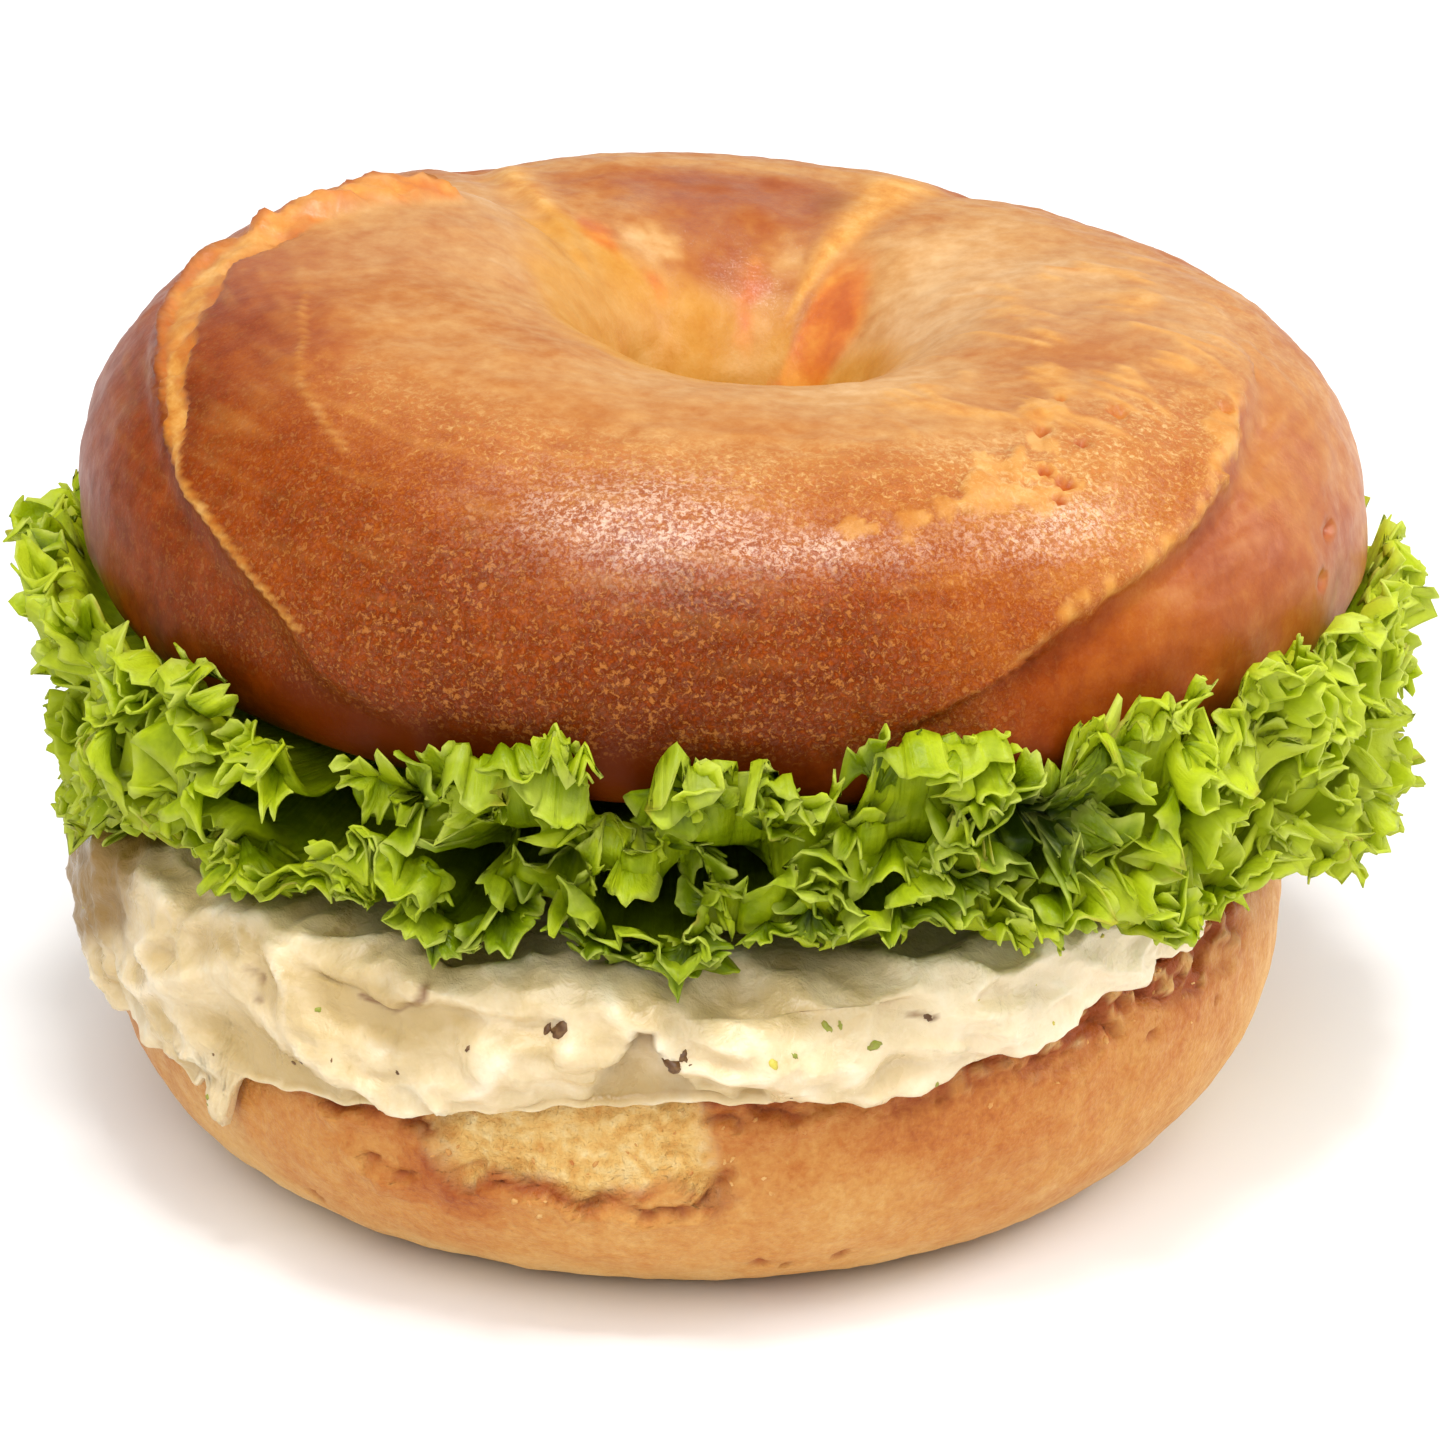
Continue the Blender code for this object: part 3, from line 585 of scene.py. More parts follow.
class Look:
    """A material put together from nodes, with sizes in millimetres."""

    def __init__(self, name):
        self.material = bpy.data.materials.new(name)
        self.material.use_nodes = True
        self.tree = self.material.node_tree
        self.shader = self.tree.nodes["Principled BSDF"]
        self.place = self.node("TexCoord").outputs["Object"]

    def node(self, kind, **values):
        """A node with some of its sockets set."""
        made = self.tree.nodes.new("ShaderNode" + kind)
        for name, value in values.items():
            self.put(made.inputs[name.replace("_", " ")], value)
        return made

    def put(self, socket, value):
        """Give a socket a link or a plain value, where a colour has three parts."""
        if isinstance(value, bpy.types.NodeSocket):
            self.tree.links.new(value, socket)
        elif socket.type == "RGBA":
            socket.default_value = colour(value)
        else:
            socket.default_value = value

    def set(self, **values):
        """Set sockets of the shader."""
        for name, value in values.items():
            self.put(self.shader.inputs[name.replace("_", " ")], value)

    def marks(self, *names):
        """Numbers kept on the mesh's points."""
        for name in names:
            made = self.node("Attribute")
            made.attribute_name = name
            yield made.outputs["Fac"]

    def noise(self, size, detail=2, roughness=0.5, distortion=0, place=None):
        """Noise from 0 to 1 with features about size across."""
        made = self.node(
            "TexNoise", Vector=place or self.place, Scale=1 / (size * MM), Detail=detail,
            Roughness=roughness, Distortion=distortion)
        return made.outputs["Fac"]

    def math(self, operation, first, second):
        """Arithmetic on numbers."""
        made = self.node("Math")
        made.operation = operation
        self.put(made.inputs[0], first)
        self.put(made.inputs[1], second)
        return made.outputs[0]

    def times(self, first, *others):
        """A product."""
        for other in others:
            first = self.math("MULTIPLY", first, other)
        return first

    def plus(self, first, second):
        """A sum."""
        return self.math("ADD", first, second)

    def stir(self, value, *noises):
        """A value with (noise, strength) added to it, where each noise goes from 0 to 1."""
        for noise, *strength in noises:
            value = self.plus(value, self.times(self.plus(noise, -0.5), *strength))
        return value

    def span(self, value, low, high, start=0, end=1):
        """A soft step from start at low to end at high."""
        made = self.node("MapRange", Value=value, From_Min=low, From_Max=high, To_Min=start, To_Max=end)
        made.interpolation_type = "SMOOTHSTEP"
        return made.outputs["Result"]

    def mix(self, share, first, second):
        """Between two colours."""
        made = self.node("Mix")
        made.data_type = "RGBA"
        for name, value in (("Factor", share), ("A", first), ("B", second)):
            self.put(made.inputs[name], value)
        return made.outputs["Result"]

    def ramp(self, value, *stops):
        """A colour for each value, from stops of a value and the three parts of a colour."""
        made = self.node("ValToRGB", Fac=value)
        while len(made.color_ramp.elements) < len(stops):
            made.color_ramp.elements.new(0.5)
        for element, (at, *shade) in zip(made.color_ramp.elements, stops):
            element.position = at
            element.color = colour(shade)
        return made.outputs["Color"]

    def bump(self, height, depth, over=None):
        """Raise the shading by a height from 0 to 1 times a depth in millimetres."""
        made = self.node("Bump", Height=height, Distance=depth * MM)
        if over:
            self.put(made.inputs["Normal"], over)
        return made.outputs["Normal"]


def crown_look():
    """Baked crust: tan on top, red-brown below, paler dough in the folds, glazed and flecked in places."""
    look = Look("crown_crust")
    bake_and_painted_light, dough, orange, rough, dark, glaze_and_painted_glint, sheen, hollow = look.marks(
        "bake_and_painted_light", "dough", "orange", "rough", "dark", "glaze_and_painted_glint", "sheen", "hollow")
    patches = look.noise(9, 3)
    blotch = look.noise(1.9, 4, 0.6)
    grain = look.noise(0.5, 3, 0.7, 0.6)
    baked_and_painted_light = look.stir(bake_and_painted_light, (patches, 0.4), (blotch, 0.4), (grain, rough, 1.5))
    crust = look.ramp(
        baked_and_painted_light, (0, 216, 172, 116), (0.2, 192, 138, 76), (0.38, 172, 104, 40), (0.55, 156, 77, 16),
        (0.75, 134, 54, 4), (1, 98, 34, 0))
    fleck = look.span(look.noise(0.5, 3, 0.7, 0.5), 0.5, 0.66)
    crust = look.mix(look.times(fleck, rough, 0.55), crust, (202, 126, 56))
    # painted highlight: pale glints mixed into the colour where the crust is glazed and rough
    painted_glint = look.span(look.noise(0.42, 3, 0.75, 0.4), 0.44, 0.62)
    crust = look.mix(look.times(look.times(painted_glint, glaze_and_painted_glint), look.times(rough, 0.6)), crust, (232, 200, 172))
    pale = look.ramp(
        look.stir(look.noise(2.6, 3), (grain, 0.4)), (0.25, 190, 118, 44), (0.5, 208, 148, 70),
        (0.75, 222, 174, 104))
    crust = look.mix(dough, crust, pale)
    crust = look.mix(look.times(hollow, 0.55), crust, (184, 126, 26))
    amber = look.ramp(look.noise(3.2, 3), (0.35, 184, 80, 12), (0.5, 202, 104, 22), (0.68, 220, 142, 48))
    crust = look.mix(orange, crust, amber)
    # darker pits, spot and rim, and painted shade along the left fold's crease
    crust = look.mix(dark, crust, (112, 44, 8))
    normal = look.bump(look.times(grain, look.span(rough, 0, 1, 0.3, 1)), 0.045)
    normal = look.bump(blotch, 0.11, normal)
    facets = look.bump(look.noise(0.42, 3, 0.7, 1.2), 0.085, normal)
    look.set(Base_Color=crust, Roughness=look.span(blotch, 0.3, 0.7, 0.4, 0.5), Normal=normal)
    look.set(Specular_IOR_Level=sheen, Coat_Weight=glaze_and_painted_glint, Coat_Roughness=0.18, Coat_Normal=facets)
    return look.material


def heel_look():
    """Satin crust, paler towards the base, with crumb where it is torn."""
    look = Look("heel_crust")
    bake_and_painted_light, crumb, dark = look.marks("bake_and_painted_light", "crumb", "dark")
    patches = look.noise(11, 3)
    blotch = look.noise(2.4, 4, 0.65)
    grain = look.noise(0.6, 3, 0.65)
    baked_and_painted_light = look.stir(bake_and_painted_light, (patches, 0.6), (blotch, 0.45), (grain, 0.3))
    crust = look.ramp(
        baked_and_painted_light, (0, 228, 190, 122), (0.3, 216, 167, 94), (0.55, 201, 140, 66), (0.78, 184, 108, 38),
        (1, 156, 72, 12))
    bread = look.ramp(
        look.plus(look.times(blotch, 0.6), look.times(look.noise(1.2, 3), 0.4)), (0.3, 212, 146, 62),
        (0.5, 234, 188, 108), (0.7, 246, 216, 152))
    shade = look.mix(crumb, crust, bread)
    shade = look.mix(dark, shade, (156, 70, 14))
    normal = look.bump(grain, 0.16)
    normal = look.bump(look.times(look.noise(0.9, 4, 0.7), crumb), 0.6, normal)
    normal = look.bump(blotch, 0.25, normal)
    look.set(Base_Color=shade, Roughness=look.span(blotch, 0.3, 0.7, 0.46, 0.6), Normal=normal)
    look.set(Specular_IOR_Level=0.35)
    return look.material


def filling_look():
    """Moist pale spread with thicker and thinner places; painted shade and highlight on its folds."""
    look = Look("filling")
    hollow, olive_tint_and_painted_shade, brown = look.marks("hollow", "olive_tint_and_painted_shade", "brown")
    lumps = look.noise(6, 4, 0.55, 0.6)
    grain = look.noise(0.8, 3, 0.6)
    shade = look.ramp(
        look.plus(look.times(lumps, 0.85), look.times(grain, 0.15)), (0.3, 198, 170, 116),
        (0.42, 218, 193, 144), (0.56, 232, 210, 168), (0.7, 244, 232, 202))
    # painted highlight: paler on the crests of the folds
    shade = look.mix(look.times(*look.marks("crest"), 0.7), shade, (250, 235, 206))
    # painted shade: darker in the hollows of the folds
    shade = look.mix(look.times(hollow, 0.75), shade, (182, 150, 84))
    # olive tint at the thin wedge and the left end, partly painted shade
    shade = look.mix(olive_tint_and_painted_shade, shade, (142, 106, 38))
    shade = look.mix(brown, shade, (122, 70, 24))
    normal = look.bump(grain, 0.1)
    normal = look.bump(look.noise(2.4, 4, 0.6, 0.5), 0.35, normal)
    look.set(Base_Color=shade, Roughness=look.span(lumps, 0.35, 0.65, 0.26, 0.46), Normal=normal)
    look.set(Subsurface_Weight=0.2, Subsurface_Radius=(1, 0.75, 0.45), Subsurface_Scale=0.0022)
    return look.material


def leaf_look(name, deep, middle, bright):
    """Thin fresh leaf: darker inside, bright yellow-green towards the edge, pale teeth."""
    look = Look(name)
    edge, tip, tone = look.marks("edge", "tip", "tone")
    chart = look.node("CombineXYZ")
    for socket, mark in zip(chart.inputs, ("along", "out")):
        look.put(socket, *look.marks(mark))
    veins = look.noise(1, 3, 0.55, 0.3, chart.outputs[0])
    blotch = look.noise(3.5, 3)
    mottle = look.noise(0.9, 3, 0.6)
    level = look.stir(look.times(edge, 0.75), (blotch, 0.7), (veins, 0.45))
    level = look.stir(look.plus(level, tone), (mottle, 0.35))
    # the deep colour inside is partly painted shade, where leaves lie under and between others
    shade = look.ramp(level, (0, *deep), (0.5, *middle), (0.95, *bright))
    shade = look.mix(look.span(tone, 0.15, 0.6, 0, 0.42), shade, (226, 232, 86))
    pale = look.times(tip, look.span(look.noise(2.6), 0.4, 0.66, 0.15, 0.75))
    shade = look.mix(pale, shade, (222, 230, 112))
    rust = look.times(look.span(look.noise(7), 0.62, 0.68), look.span(tip, 0.6, 1), 0.4)
    shade = look.mix(rust, shade, (170, 116, 40))
    normal = look.bump(veins, 0.26)
    normal = look.bump(mottle, 0.14, normal)
    look.set(Base_Color=shade, Roughness=look.span(blotch, 0.3, 0.7, 0.34, 0.46), Normal=normal)
    look.set(Specular_IOR_Level=0.26)
    glow = look.node("BsdfTranslucent")
    look.put(glow.inputs["Color"], look.mix(0.5, shade, (196, 214, 20)))
    both = look.node("MixShader", Fac=0.42)
    look.put(both.inputs[1], look.shader.outputs[0])
    look.put(both.inputs[2], glow.outputs[0])
    look.put(look.tree.nodes["Material Output"].inputs["Surface"], both.outputs[0])
    return look.material


# The band of unbaked dough along the left fold, as (theta, phi) in degrees, and its half width at some
# places round the ring
DOUGH_BAND = [
    (155, 95), (167, 85), (180, 71.5), (185, 63.5), (200, 48), (208, 39), (214, 28.5), (224, 19.5), (233, 8),
]
DOUGH_BAND_AT = [150, 184, 200, 213, 218, 233]
DOUGH_BAND_HALF = [1.9, 2.3, 1.9, 0.8, 0.4, 0.35]
# The edge of the rough strand on the right, and a thin pale line on the left, the same way
LIP = [
    (340, 60), (330.5, 53.5), (324, 47), (316.5, 38.5), (310, 32.5), (302, 26.5), (296.5, 19), (291, 14),
]
PALE_LINE = [(200.5, 80), (212, 71.5), (219.5, 61), (225, 56.5), (230, 51)]
# How far over the section the baked crust reaches into the hole, round the ring
CRUST_ENDS_AT = [0, 62, 67, 100, 122, 130, 165, 196, 250, 360]
CRUST_ENDS = [134, 160, 140, 140, 130, 103, 121, 123, 111, 134]
# Pale flaked places on the crown: (theta, phi) in degrees and radius in millimetres
FLAKES = [
    (315, 81, 1.5), (311, 79, 1.3), (307, 73, 1), (300, 67, 1.7), (301, 61.5, 1.6), (300.5, 54.5, 2.3),
    (296, 57, 1.9), (292.5, 53.5, 1.5), (330.5, 54.5, 1.6), (327.5, 51, 1.5), (324, 47.5, 1.2), (287, 52, 1),
    (281, 50, 0.9),
]
# Dark pits in the crown's crust, the same way
PITS = [
    (320, 73, 0.75), (332.5, 58.5, 0.6), (309, 76, 0.5), (303.5, 62, 0.55), (304.5, 57.5, 0.6),
    (302.5, 53, 0.5), (332.5, 8.5, 0.8), (337, 17.5, 0.7), (317, 84, 0.4), (311, 68, 0.4),
]
# Deep orange places on the back wall of the hole, and paler ones that are painted highlights, the same way
ORANGE_SPOTS = [(83.5, 138.5, 2.6), (84, 148, 2.2), (116.5, 140, 2.4), (125, 121, 2.4)]
PAINTED_HIGHLIGHT_SPOTS = [(113.5, 130, 2.6), (107, 127, 2.2), (75, 123.5, 2.8), (68, 122, 1.8)]


def spot_mask(theta, phi, spots, wobble, softness=0.2):
    """How far inside any of the round spots, from 0 to 1."""
    mask = np.zeros(theta.shape)
    for heading, over, radius in spots:
        away_y = (phi - math.radians(over)) * CHART_OVER
        away = np.hypot(turn(theta, heading) * CHART_ROUND, away_y) / radius + wobble
        mask = np.maximum(mask, smooth(1 + softness, 1 - softness, away))
    return mask


def make_crown():
    """The crown with its folds, flakes, pits and wrinkles."""
    low = np.linspace(-CROWN_EDGE, 0, CROWN_LOW_ROWS + 1)
    phi = np.concatenate([low[:-1], np.linspace(0, np.pi, CROWN_ROWS), np.pi - low[::-1][1:]])[None, :]
    theta, phi = np.broadcast_arrays(ring(CROWN_STEPS), phi)
    crust = np.stack(crown_ring(theta, phi), axis=-1)
    share = np.linspace(0, 1, 8)[1:-1][None, :, None]
    face = crust[:, -1:] * (1 - share) + crust[:, :1] * share
    normal = grid_normals(np.concatenate([crust, face], axis=1), True)
    count = crust.shape[1]
    angle, over = np.degrees(theta % (2 * np.pi)), np.degrees(phi)
    wobble, fine = noise(crust, 5, 40), noise(crust, 1.8, 41)
    first, second, name = cells(crust, 3.4, 50)
    shingle = (name - 0.5) * smooth(0, 0.5, second - first)
    first_small, _, name_small = cells(crust, 1.3, 51)

    # the left fold: rough dough, raised at the back, a trough on the left and a thin beaded ridge in front
    left = from_fold(theta, phi, LEFT_FOLD) + 0.8 * wobble + 0.3 * fine
    half = np.interp(angle, DOUGH_BAND_AT, DOUGH_BAND_HALF)
    band_away = np.abs(from_fold(theta, phi, DOUGH_BAND))
    on_band = window(angle, 146, 153, 232, 236)
    ragged = (0.55 * wobble + 0.45 * fine) * np.minimum(half, 1.2)
    band = smooth(1.3 * half, 0.8 * half, band_away + ragged) * on_band
    core = smooth(0.95 * half, 0.3 * half, band_away + 1.3 * ragged) * on_band
    at_back, at_front = smooth(181, 172, angle), smooth(208, 216, angle)
    at_side = (1 - at_back) * (1 - at_front)
    band_rise = at_back - 0.8 * at_side + 0.22 * at_front
    band_rise = band_rise + (0.9 * at_back + 0.6 * at_side) * (0.7 * fine + 1.2 * shingle)
    crease = hump(left, 0, 0.45) * window(angle, 178, 190, 230, 238) * (1 - 0.6 * at_front)
    pale_away = np.abs(from_fold(theta, phi, PALE_LINE) + 0.25 * wobble + 0.12 * fine)
    tick = (np.abs(over - 61) < 1.2) * smooth(2.4, 1.6, np.abs(turn(theta, 218.5)) * CHART_ROUND)
    pale_line = np.maximum(smooth(0.5, 0.05, pale_away) * (over < 81) * (over > 50), 0.5 * tick)

    # the right lip: the edge of the rough upper strand over the smooth lower one
    right = from_fold(theta, phi, LIP) + 0.9 * wobble + 0.6 * fine
    on_right = window(angle, 289, 297, 334, 342)
    lip = window(right, -1.8, -0.4, 0, 0.7) * on_right
    lip_step = smooth(-0.3, 0.9, right) * np.exp(-np.maximum(right, 0) / 5) * on_right
    lip_shade = window(right, 0, 0.9, 0.8, 4.5) * on_right

    # ridges on both sides of the back of the hole
    hole_left = from_fold(theta, phi, HOLE_LEFT_FOLD) + 0.5 * wobble
    hole_right = from_fold(theta, phi, HOLE_RIGHT_FOLD) + 0.5 * wobble
    on_hole = window(over, 58, 80, 160, 178)
    at_left = on_hole * window(angle, 100, 115, 165, 185)
    at_right = on_hole * window(angle, 36, 52, 82, 95)
    ridge_half = 1.3 + 2.1 * smooth(138, 92, over)
    left_ridge = hump(hole_left, 1.4, 1.9) * at_left
    right_ridge = hump(hole_right, -0.4 - 0.7 * ridge_half, ridge_half) * at_right
    hollow_right = smooth(-0.2, 2.4, hole_right - 2 * smooth(128, 156, over))
    hollow_ends = 4 + 13 * smooth(108, 142, over)
    hollow_right = hollow_right * smooth(3.4, -3, hole_right + 1.2 * wobble - hollow_ends)
    hollow_right = hollow_right * window(over, 110, 132, 160, 172) * window(angle, 20, 34, 82, 95)

    flake = spot_mask(theta, phi, FLAKES, 1.3 * wobble + 1.3 * fine)
    pit = spot_mask(theta, phi, PITS, 0.5 * fine)

    # wrinkles that run down to the right on that side, and along the strand elsewhere
    along = 0.73 * crust[..., 0] - 0.68 * crust[..., 1]
    across = 0.68 * crust[..., 0] + 0.73 * crust[..., 1] + 1.2 * wobble
    twisted = np.stack([along / 4.5, across, 0 * across], axis=-1)
    twist = (0.5 - np.abs(noise(twisted, 2.8, 42))) * hump(over, 88, 36)
    twist = twist * (smooth(272, 304, angle) + smooth(38, 15, angle))
    twist = twist * smooth(-0.3, 0.25, noise(crust, 6, 54))
    chart = np.stack([theta * CHART_ROUND / 5, phi * CHART_OVER, 0 * phi], axis=-1)
    around = noise(chart, 1.4, 43) * hump(over, 60, 42)
    rough = window(over, -24, 0, 62, 88) * (0.3 + 0.7 * window(angle, 205, 245, 322, 336))
    rough = rough * (1 - 0.8 * smooth(0, 1.2, right) * window(angle, 289, 297, 340, 358))

    beyond = -from_fold(theta, phi, [(110, 137)] + DOUGH_BAND)
    ridges = sum([
        0.7 * left_ridge, 0.6 * right_ridge, -0.2 * hump(hole_left, -1.5, 1.8) * at_left,
        -0.25 * hollow_right, 0.8 * hump(hole_right, 0.2, 3) * at_right,
        0.6 * hump(hole_left, 0, 3) * at_left,
    ])
    rise = sum([
        0.5 * noise(crust, 12, 44), 0.18 * wobble, 0.1 * noise(crust, 2.6, 45),
        0.07 * noise(crust, 1.2, 46) * (0.3 + rough), 0.55 * twist, 0.13 * around,
        band * band_rise, -0.5 * crease, 0.16 * pale_line,
        -0.5 * lip_step, 0.35 * hump(right, -1.4, 1.8) * on_right,
        ridges * smooth(146, 108, over),
        -1.3 * near(theta, 129, 0.26) * hump(over, 88, 30),
        -1.2 * window(beyond, 0.5, 3.5, 8, 26) * at_back * smooth(128, 146, angle),
        flake * (0.2 + 0.8 * shingle), -0.6 * pit,
        0.12 * rough * smooth(0.55, 0.2, first_small) * (name_small > 0.55),
    ])
    rise = rise * window(over, -55, -20, 215, 235)
    crust_points = crust + normal[:, :count] * rise[..., None]
    face_points = face + normal[:, count:] * 0.35 * layered(face, 3, 47, 2)[..., None]
    points = np.concatenate([crust_points, face_points], axis=1)
    grid = np.stack(set_crown(*np.moveaxis(points, -1, 0)), axis=-1)

    # how baked the crust is: light on top and on the right, dark below, with painted shade below the lip and
    # painted highlight and reflection where marked
    back = near(theta, 92, 0.5)
    soft = 0.9 * wobble + 0.7 * fine
    from_right = np.degrees(turn(theta, 0))
    bake_and_painted_light = sum([
        0.2, 0.56 * smooth(86, 30, over), 0.06 * smooth(24, -20, over), 0.05 * smooth(110, 80, over),
        0.36 * back * smooth(84, 98, over),
        -0.34 * window(from_right, -75, -28, 22, 62) * smooth(90, 25, over),
        # painted reflection: paler along the far right edge
        -0.1 * near(theta, 2, 0.5) * smooth(88, 40, over),
        -0.06 * near(theta, 10, 0.6) * smooth(50, 75, over),
        -0.14 * hump(angle, 298, 20) * hump(over, 22, 24),
        -0.14 * hump(angle, 298, 16) * window(over, 20, 40, 60, 90),
        -0.16 * flake * (0.6 + 0.9 * fine + 0.8 * shingle),
        0.08 * window(angle, 120, 150, 205, 235) * hump(over, 74, 18),
        # painted reflection: paler low down on the outer left
        -0.12 * window(angle, 120, 150, 190, 215) * smooth(75, 25, over),
        # painted highlight: paler patches on the back wall of the hole
        -0.24 * spot_mask(theta, phi, PAINTED_HIGHLIGHT_SPOTS, soft, 0.95),
        0.2 * near(theta, 213, 0.38) * hump(over, 62, 28),
        0.1 * near(theta, 335, 0.6) * hump(over, 84, 28),
        0.14 * lip_shade, 0.12 * noise(crust, 22, 48),
        0.17 * near(theta, 262, 0.7) * smooth(46, 14, over),
        0.2 * near(theta, 197, 0.16) * hump(over, 66, 10),
    ])
    ends = np.interp(angle, CRUST_ENDS_AT, CRUST_ENDS) + 5 * wobble
    inside_hole = smooth(ends - 6, ends + 9, over)
    streak = smooth(0.2, 0.42, twist) + 0.5 * np.clip(around, 0, 1)
    dough = np.maximum.reduce([
        0.9 * core, 0.55 * band, 0.75 * lip * smooth(-0.3, 0.3, fine), 0.85 * left_ridge, 0.9 * right_ridge,
        0.55 * flake, 0.42 * pale_line, 0.85 * inside_hole, 0.68 * streak,
    ])
    outer_rim = window(beyond, 0.2, 1, 1.6 - 0.8 * fine, 3.6 - 0.8 * fine) * at_back * on_band
    orange = np.maximum.reduce([
        0.8 * hollow_right, 0.7 * spot_mask(theta, phi, ORANGE_SPOTS, soft, 0.8), 0.95 * pit,
        0.8 * outer_rim,
        band * (0.4 * at_back + 0.3 * smooth(0, 0.6, noise(crust, 3, 52)) * (1 - at_front)),
        0.6 * (band - core) * (1 - 0.6 * at_front),
    ])
    spot = hump(turn(theta, 72) * CHART_ROUND, 0, 3) * hump(over, 100, 7)
    # the crease's darkening is painted shade; the pits, spot and rim are darker crust
    dark = np.maximum.reduce([0.4 * pit, 0.45 * crease, 0.5 * spot, 0.3 * outer_rim])
    # where the key light's reflection falls: a clear coat there, and painted glints mixed into the crust's
    # colour
    shine = np.maximum.reduce([
        1.7 * near(theta, 262, 0.18) * hump(over, 51, 13), 1.1 * near(theta, 276, 0.2) * hump(over, 45, 6),
        1.2 * near(theta, 300, 0.16) * hump(over, 47, 8),
    ])
    shine = shine * (0.6 + 0.4 * smooth(-0.4, 0.3, noise(crust, 3, 55)))
    shine = np.maximum(shine, 1.6 * back * hump(over, 116, 22) * smooth(-0.35, 0.3, noise(crust, 5, 53)))
    glaze_and_painted_glint = np.clip(0.06 + shine, 0, 1) * (1 - 0.7 * dough)
    far_side = np.maximum(window(angle, 120, 150, 185, 205), np.abs(np.cos(0.5 * theta)) ** 24)
    sheen = np.minimum(0.04 + 0.36 * smooth(40, 78, over) + 0.55 * far_side, 0.9) * (1 - 0.5 * dough)
    hollow = inside_hole * smooth(96, 118, over)
    on_crust = dict(
        bake_and_painted_light=bake_and_painted_light, dough=dough, orange=orange, rough=rough, dark=dark, glaze_and_painted_glint=glaze_and_painted_glint, sheen=sheen,
        hollow=hollow)
    on_face = dict(dough=1, sheen=0.1, hollow=1)
    marks = {
        mark: np.concatenate([values, np.full(face.shape[:2], on_face.get(mark, 0.0))], axis=1)
        for mark, values in on_crust.items()}
    faces = [grid_faces(CROWN_STEPS, grid.shape[1], True, True)]
    add_piece("crown", grid, faces, marks, crown_look(), "bagel_crown")


# Cracks along the torn edges of the heel's crust: (degrees round the ring, height in millimetres)
CRACKS = [
    [(-123, 19), (-121.6, 19.6), (-117.4, 20), (-113.5, 18.6)],
    [(-119, 14.6), (-116, 14), (-113, 14.2), (-108.4, 14.7), (-103, 14.2)],
    [(-104, 15.2), (-97.8, 13.8), (-93.6, 13.2), (-89.2, 14), (-87, 16.4)],
    [(-88.5, 21.4), (-85, 21.9), (-80.5, 21.7)],
    [(-59, 22), (-55.6, 20.9), (-51.5, 22), (-48, 22.9)],
    [(-40, 22), (-36, 22.8), (-29, 22.4)],
]
# Pits in the heel's crust: degrees round the ring, height and radius
HEEL_PITS = [
    (-83.6, 6.3, 0.8), (-81, 5.6, 0.5), (-75.8, 6.1, 0.6), (-57.8, 22.3, 0.5), (-49.2, 22.6, 0.5),
    (-37.6, 22.3, 0.5), (-33, 19.5, 0.4), (-128, 7, 0.7), (-44, 20.4, 0.4), (60, 20, 0.8),
    (110, 18, 0.7), (165, 19.5, 0.7), (15, 21, 0.8),
]


def in_rows(shape, rows, values):
    """Values in some rows of a grid and 0 elsewhere."""
    made = np.zeros(shape)
    made[:, rows] = values
    return made


